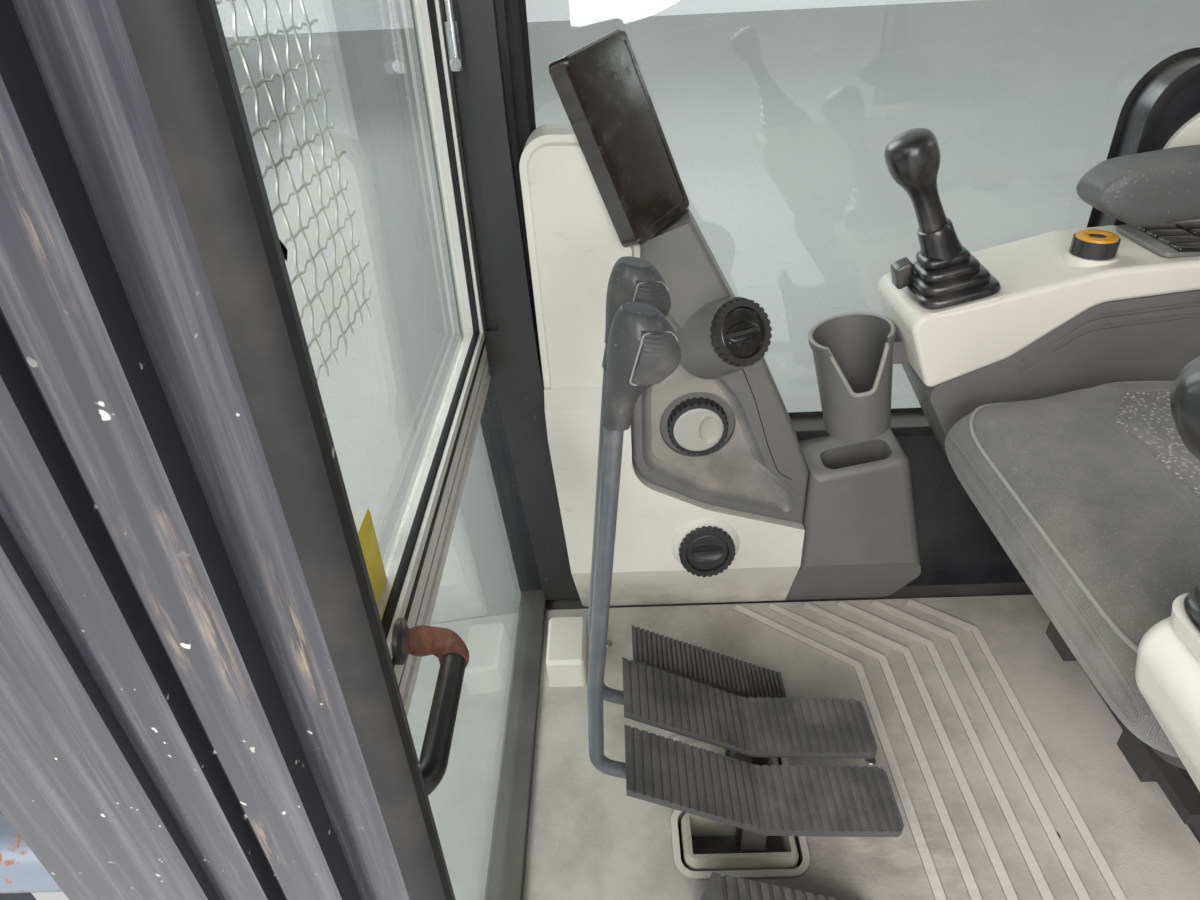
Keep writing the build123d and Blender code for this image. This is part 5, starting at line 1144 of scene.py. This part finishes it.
class CAB_OT_seals(Step):
    """Runs rubber seals and black frit bands round the door opening and the windows

    A seal is a rounded section carried round the opening's outline, square to it.
    """

    bl_idname = "cab.seals"
    bl_label = "Seals"

    def make(self):
        looks = self.looks
        bulb = [(-0.6, -14), (10, -14), (11, -2), (9, 3.2), (4, 4.6), (-2, 3.6), (-4.4, 1.0), (-0.6, -2)]
        door = Surface().add(stood(framed(DOOR_OPENING, bulb), "side", HALF_WIDTH), along=True)
        door.piece("door_seal", "cab", looks["seal"], "black_rubber")
        width = self.sizes.seal_width / MM
        inner = Surface()
        inner.add(stood(framed(SIDE_WINDOW, slab(width, 4, 1.5, (width / 2 - 5, 1.5))), "side", -INNER_HALF), along=True)
        inner.add(
            stood(framed(REAR_WINDOW, slab(width, 4, 1.5, (width / 2 - 5, -1.5))), "front", CAB_REAR - 50), along=True
        )
        inner.piece("window_seals_inner", "cab", looks["seal"], "black_rubber")
        outer = Surface()
        outer.add(stood(framed(SIDE_WINDOW, slab(12, 3, 1.2, (13, 1.8))), "side", -HALF_WIDTH), along=True)
        outer.add(stood(framed(REAR_WINDOW, slab(12, 3, 1.2, (13, -1.8))), "front", CAB_REAR), along=True)
        outer.piece("window_seals_outer", "cab", looks["seal"], "black_rubber")
        frit = Surface()
        frit.add(stood(framed(SIDE_WINDOW, slab(22, 0.6, 0.25, (2, 0.4))), "side", -HALF_WIDTH + 8), along=True)
        frit.add(stood(framed(REAR_WINDOW, slab(22, 0.6, 0.25, (0, -0.4))), "front", CAB_REAR - 8), along=True)
        frit.piece("window_frit", "cab", looks["seal"], "black_plastic")
        leaf = Surface()
        for rows in DOOR_WINDOWS:
            leaf.add(stood(framed(rows, slab(12, 3, 1.2, (12, -0.4))), "side", DOOR_INNER_X), along=True)
            leaf.add(stood(framed(rows, slab(14, 3, 1.2, (2, 0.5))), "side", DOOR_OUTER_X), along=True)
        leaf.piece("door_window_seals", "door", looks["seal"], "black_rubber")
        sash = Surface()
        daylight = [(-391, 642, 6), (391, 642, 6), (391, 1516, 6), (-391, 1516, 6)]
        sash.add(stood(framed(daylight, slab(7, 9, 1.5, (1.5, -7))), "front", SASH_REAR - 2), along=True)
        groove = [(-413, 620, 0), (413, 620, 0), (413, 1538, 0), (-413, 1538, 0)]
        sash.add(stood(framed(groove, slab(8, 4.6, 1.2, (-5, -1.6))), "front", SASH_REAR), along=True)
        gap = [(-424, 598, 0), (424, 598, 0)]
        sash.add(stood(framed(gap, slab(3.6, 20, 1.0), False), "front", SASH_REAR - 11), ends=True)
        sash.piece("sash_seals", "cab", looks["seal"], "black_rubber")


class CAB_OT_sash_fittings(Step):
    """Puts the latch, the blank label and the handle's tape on the windscreen sash

    The tape is a tube on the handle's own line whose radius swells and dips along it.
    """

    bl_idname = "cab.sash_fittings"
    bl_label = "Sash fittings"

    def make(self):
        looks = self.looks
        rows = [(330, -798, 0), (330, -748, 24), (190, -748, 24), (190, -798, 0)]
        line = outline(rows, False, 2.0)
        start, end = np.searchsorted(-line[:, 0], [-296, -189.5])
        keep = line[start:]
        lengths = np.concatenate([[0], np.cumsum(np.linalg.norm(np.diff(keep, axis=0), axis=1))])
        s = np.linspace(0, lengths[-1] - 6, 90)
        path = np.stack([np.interp(s, lengths, keep[:, 0]), np.interp(s, lengths, keep[:, 1]), 628 + 0 * s], -1)
        turns = 11.4 + 0.7 * np.abs(np.sin(s / 9.0)) + 0.5 * np.sin(s / 3.1)
        turns[(s > 52) & (s < 62)] = 10.4
        tape = Surface().add(tube(path, turns, (0, 0, 1), 18), ends=True)
        tape.piece("handle_tape", "cab", looks["tape"], "handle_paint")
        grip = outline(rows, False, 2.0)[:12]
        flange = Surface()
        for x in (330, 190):
            flange.add(turned([(0.02, 0), (19, 0), (19, 4), (12, 6), (10.5, 9)], (x, SASH_REAR, 628), (0, 1, 0), 28))
        flange.piece("handle_flanges", "cab", looks["handle"], "handle_paint")
        decal = [(126, 633, 4), (208, 633, 4), (208, 720, 4), (126, 720, 4)]
        label = Surface().add(plate(decal, "front", -820, 0.5, 0.15), ends=True)
        label.piece("blank_decal", "cab", looks["decal"], "light_plastic")
        wedge = [(323, 993, 4), (352, 986, 10), (404, 980, 8), (404, 1052, 12), (345, 1050, 20), (315, 1024, 5),
                 (303, 1019, 5), (297, 1010, 8), (287, 988, 2.5), (291, 986, 2.5)]
        latch = Surface().add(plate(wedge, "front", SASH_REAR + 2, 34, 7.0), ends=True)
        latch.add(plate([(380, 925, 6), (420, 925, 6), (420, 1065, 6), (380, 1065, 6)], "front", SASH_REAR, 5, 1.5), ends=True)
        latch.piece("sash_latch", "cab", looks["latch"], "black_plastic")


class CAB_OT_console_parts(Step):
    """Makes the console's vent discs, the rockers on their panel, the bottle holder's rim, the spine's seam, the plug
    by the joystick and the dial's ring

    A vent's disc is a shallow dish: its height falls with the square of the distance
    from an oval rim.
    """

    bl_idname = "cab.console_parts"
    bl_label = "Console parts"

    def disc(self, centre, axis, radius, dish, hollow=(0.0, 0.80, 0.42)):
        """A round flap with an oval thumb hollow (shift, half lengths), as a polar grid with a closed middle."""
        side, lift, axis = basis(axis)
        r = np.linspace(0.01, 1, 26)[:, None]
        a = np.linspace(0, 2 * np.pi, 64, endpoint=False)[None]
        x, y = r * np.cos(a), r * np.sin(a)
        oval = ((x - hollow[0]) / hollow[1]) ** 2 + (y / hollow[2]) ** 2
        height = 2.2 - dish * np.clip(1 - oval, 0, 1) ** 0.4 - 1.6 * np.clip((r - 0.93) / 0.07, 0, 1) ** 2
        height = height + 0 * x
        flat = radius * (x[..., None] * side + y[..., None] * lift)
        return np.asarray(centre, float) + flat + height[..., None] * axis

    def holder_edge(self):
        """The bottle holder's edge: round its leaning rim, then down and up the sides of its slot."""
        low, wide, narrow, high = 79.0, 42.0, 14.0, 152.5
        turn = np.arcsin(wide / 55.3)
        a = turn + (2 * np.pi - 2 * turn) * np.linspace(0, 1, 90)
        arc = np.stack([55.3 * np.sin(a), high + 0 * a], -1)
        far = np.cos(a)
        slot = outline([(-wide, high, 0), (-narrow, low, 10), (narrow, low, 10), (wide, high, 0)], False, 3.0)
        steps = np.linspace(0, len(slot) - 1, 110)[1:-1]
        down = np.stack([np.interp(steps, np.arange(len(slot)), slot[:, i]) for i in (0, 1)], -1)
        wall = 45.0 + 9.0 * down[:, 1] / 154.0
        depth = np.concatenate([55.3 * far, np.sqrt(np.maximum(wall**2 - down[:, 0] ** 2, 1.0))])
        across, up = np.concatenate([arc, down]).T
        s, c = np.sin(np.radians(-10.5)), np.cos(np.radians(-10.5))
        return np.stack([-364.0 + depth, -251.0 + across * c + up * s, 482.0 - across * s + up * c], -1)

    def make(self):
        looks = self.looks
        top, top_axis = np.array([-305.0, -446.0, 665.0]), np.array([0.80, 0.42, 0.42])
        top_axis = top_axis / np.linalg.norm(top_axis)
        discs = Surface().add(self.disc((-333.4, -492, 500), (1, 0, 0), 36.5, 4.5, (0.42, 0.40, 0.58)))
        discs.piece("middle_vent_disc", "cab", looks["dusty_disc"], "light_plastic")
        flap = Surface().add(self.disc(top + top_axis * 7.0, top_axis, 33, 5.0))
        flap.piece("top_vent_flap", "cab", looks["gloss_black"], "black_plastic")
        low_axis = np.array([1.0, 0.06, 0.12])
        low_axis = low_axis / np.linalg.norm(low_axis)
        low = Surface().add(self.disc(np.array([-310.0, -477.0, 292.0]) + low_axis * 7.5, low_axis, 33, 4.0))
        low.piece("low_vent_flap", "cab", looks["black"], "black_plastic")
        rim = Surface().add(tube(self.holder_edge(), 3.3, (0.13, 0.21, 0.97), 12), ends=True)
        rim.piece("holder_rim", "cab", looks["holder_rim"], "grey_plastic")
        seam = outline([(-434, 600, 0), (-412, 545, 90), (-388, 466, 60), (-370, 420, 30), (-349, 406, 0)], False, 4.0)
        path = np.stack([-332.0 + 0 * seam[:, 0], seam[:, 0], seam[:, 1]], -1)
        Surface().add(tube(path, 0.7, (1, 0, 0), 8), ends=True).piece("spine_seam", "cab", looks["seal"], "grey_plastic")
        plug = [(-240, 729, 4), (-233, 699, 4), (-212, 711, 4), (-219, 740, 4)]
        socket = Surface().add(plate(plug, "side", -364, 24, 3.0), ends=True)
        socket.piece("console_plug", "cab", looks["stick_gloss"], "black_plastic")
        ring = Surface()
        section = [(10.5, 769.5), (10.5, 771), (12.5, 771.8), (21.5, 771.8), (23.5, 770.8), (24, 768.1)]
        ring.add(turned(section, (-322, -2, 0), (0, 0, 1), 48), along=True)
        ring.piece("dial_ring", "cab", looks["amber"], "light_plastic")
        panel = [(-404, 66, 10), (-288, 66, 10), (-288, 196, 10), (-404, 196, 10)]
        base = Surface().add(plate(panel, "level", 751, 5.5, 2.0), ends=True)
        base.piece("switch_panel", "cab", looks["grey"], "grey_plastic")
        switches = Surface()
        for column in range(4):
            x = -390 + column * 26
            rows = [(x, 84, 3), (x + 22, 84, 3), (x + 22, 130, 3), (x, 130, 3)]
            switches.add(plate(rows, "level", 756, 5, 1.6), ends=True)
            rows = [(x, 138, 3), (x + 22, 138, 3), (x + 22, 182, 3), (x, 182, 3)]
            switches.add(plate(rows, "level", 756, 4, 1.6), ends=True)
        switches.piece("rocker_switches", "cab", looks["gloss_black"], "black_plastic")


class CAB_OT_liner(Step):
    """Lines the inside of the shell: the cream quarter panel behind the side window

    The panel is a flat outline with softened edges.
    """

    bl_idname = "cab.liner"
    bl_label = "Liner"

    def make(self):
        rows = [(108, 650, 20), (724, 650, 20), (724, 922, 30), (180, 922, 90), (108, 860, 80)]
        panel = Surface().add(plate(rows, "side", -INNER_HALF, 9, 5.0), ends=True)
        panel.piece("quarter_liner", "cab", self.looks["light"], "light_plastic")


class CAB_OT_fasteners(Step):
    """Sets bolt heads and screws: hexagons on washers, turned about their own axes"""

    bl_idname = "cab.fasteners"
    bl_label = "Fasteners"

    def make(self):
        width, sides = self.sizes.bolt_width / MM, self.sizes.bolt_sides
        bolts = Surface()
        for x, z in ((455, 780), (455, 1440), (-455, 1440), (-455, 1180)):
            for part in bolt((x, GUARD_FACE, z), (0, -1, 0), width, 9, sides):
                bolts.add(part, ends=True)
        bolts.piece("guard_bolts", "cab", self.looks["steel"], "guard_paint", smooth=False)
        hinge = Surface()
        for z in HINGE_HEIGHTS:
            for part in bolt((515, 75, z + 58), (0, 0, 1), 16, 6, sides):
                hinge.add(part, ends=True)
        hinge.piece("hinge_caps", "cab", self.looks["steel"], "frame_paint", smooth=False)
        screws = Surface()
        for x, y in ((-60, -264), (60, -60), (-300, -640), (330, -640), (330, -120)):
            head = [(0.02, 2.4), (2.0, 2.4), (6.5, 1.9), (8, 0.2), (8, -0.5)]
            screws.add(turned(head, (x, y, FLOOR_TOP), (0, 0, 1), 20), ends=True)
        screws.piece("mat_screws", "cab", self.looks["steel"], "floor_steel")


class CAB_OT_stage(Step):
    """Sets the floor, the backdrop, the lamps, the world and the camera"""

    bl_idname = "cab.stage"
    bl_label = "Stage"

    def pale(self, name, colour):
        """A pale matt surface that shows itself as plain white to the camera, glass and metal."""
        f = Finish(name, colour, 0.9)
        paths = f.tree.nodes.new("ShaderNodeLightPath").outputs
        seen = f.math("MAXIMUM", Socket(f, paths["Is Camera Ray"]), Socket(f, paths["Is Transmission Ray"]))
        glow = f.node("ShaderNodeEmission", {}, {"Color": (*colour, 1.0), "Strength": 0.35})
        mixed = f.node("ShaderNodeMixShader", {}, {0: seen * 0.5, 1: Socket(f, f.shader.outputs[0]), 2: glow})
        f.tree.links.new(mixed.output, f.end.inputs[0])
        return f.material

    def make(self):
        n = 12
        a = np.linspace(-1, 1, n)
        x, y = np.meshgrid(a * 14000, a * 14000, indexing="ij")
        ground = Surface().add(np.stack([x, y, 0 * x - 2.0], -1), around=False)
        mesh = bpy.data.meshes.new("floor")
        mesh.from_pydata(np.concatenate(ground.points), [], ground.faces)
        floor = bpy.data.objects.new("floor", mesh)
        bpy.context.scene.collection.objects.link(floor)
        mesh.materials.append(self.pale("floor_pale", (0.60, 0.60, 0.595)))
        lamps = [
            # name, place, aim, size, watts
            ("key_lamp", (4.2, -3.4, 4.4), (0, -0.2, 0.7), 3.2, 330.0),
            ("fill_lamp", (-4.4, -3.0, 3.2), (0, 0, 0.8), 3.4, 150.0),
            ("rear_lamp", (0.5, 5.0, 4.0), (0, 0.2, 0.9), 3.2, 150.0),
            ("door_lamp", (2.6, -0.6, 1.5), (-0.3, -0.3, 0.6), 1.6, 60.0),
        ]
        for name, place, aim, size, watts in lamps:
            lamp = bpy.data.lights.new(name, "AREA")
            lamp.shape = "DISK"
            lamp.size = size
            lamp.energy = watts
            obj = bpy.data.objects.new(name, lamp)
            bpy.context.scene.collection.objects.link(obj)
            obj.location = place
            obj.rotation_mode = "QUATERNION"
            obj.rotation_quaternion = (Vector(aim) - Vector(place)).to_track_quat("-Z", "Y")
        world = bpy.data.worlds.new("studio")
        bpy.context.scene.world = world
        world.use_nodes = True
        tree = world.node_tree
        tree.nodes["Background"].inputs[0].default_value = (0.90, 0.91, 0.93, 1.0)
        tree.nodes["Background"].inputs[1].default_value = 0.85
        camera = bpy.data.cameras.new("camera")
        camera.sensor_width = 36.0
        camera.lens = 36.0 * 792.5 / 1200.0
        camera.clip_start = 0.01
        camera.clip_end = 100.0
        obj = bpy.data.objects.new("camera", camera)
        bpy.context.scene.collection.objects.link(obj)
        yaw, pitch, roll = np.radians([-1.58, 32.86, 2.94])
        ahead = np.array([-np.cos(pitch) * np.cos(yaw), np.cos(pitch) * np.sin(yaw), -np.sin(pitch)])
        right = np.array([np.sin(yaw), np.cos(yaw), 0.0])
        down = np.cross(ahead, right)
        across = np.cos(roll) * right + np.sin(roll) * down
        below = -np.sin(roll) * right + np.cos(roll) * down
        turn = Matrix(np.stack([across, -below, -ahead], -1).tolist()).to_4x4()
        obj.matrix_world = Matrix.Translation((0.655, -0.610, 1.110)) @ turn
        scene = bpy.context.scene
        scene.camera = obj
        scene.view_settings.view_transform = "Standard"


STEPS = (
    CAB_OT_finishes,
    CAB_OT_wire_mesh,
    CAB_OT_seat,
    CAB_OT_armrests,
    CAB_OT_joysticks,
    CAB_OT_grips,
    CAB_OT_seals,
    CAB_OT_sash_fittings,
    CAB_OT_console_parts,
    CAB_OT_liner,
    CAB_OT_fasteners,
    CAB_OT_stage,
)


class CAB_PT_dressing(bpy.types.Panel):
    """Lists the sizes, the colours and the steps"""

    bl_label = "Cab dressing"
    bl_idname = "CAB_PT_dressing"
    bl_space_type = "VIEW_3D"
    bl_region_type = "UI"
    bl_category = "Cab"

    def draw(self, context):
        for step in STEPS:
            self.layout.operator(step.bl_idname)
        for group, kind in ((context.scene.cab_sizes, CabSizes), (context.scene.cab_colours, CabColours)):
            box = self.layout.box()
            for key in kind.__annotations__:
                box.prop(group, key)


CLASSES = (CabSizes, CabColours, *STEPS, CAB_PT_dressing)


def register():
    for kind in CLASSES:
        bpy.utils.register_class(kind)
    bpy.types.Scene.cab_sizes = PointerProperty(type=CabSizes)
    bpy.types.Scene.cab_colours = PointerProperty(type=CabColours)


def unregister():
    del bpy.types.Scene.cab_colours
    del bpy.types.Scene.cab_sizes
    for kind in reversed(CLASSES):
        bpy.utils.unregister_class(kind)


def main():
    """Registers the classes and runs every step."""
    register()
    for step in STEPS:
        getattr(bpy.ops.cab, step.bl_idname.split(".")[1])()
    bpy.context.view_layer.update()


if __name__ == "__main__":
    main()
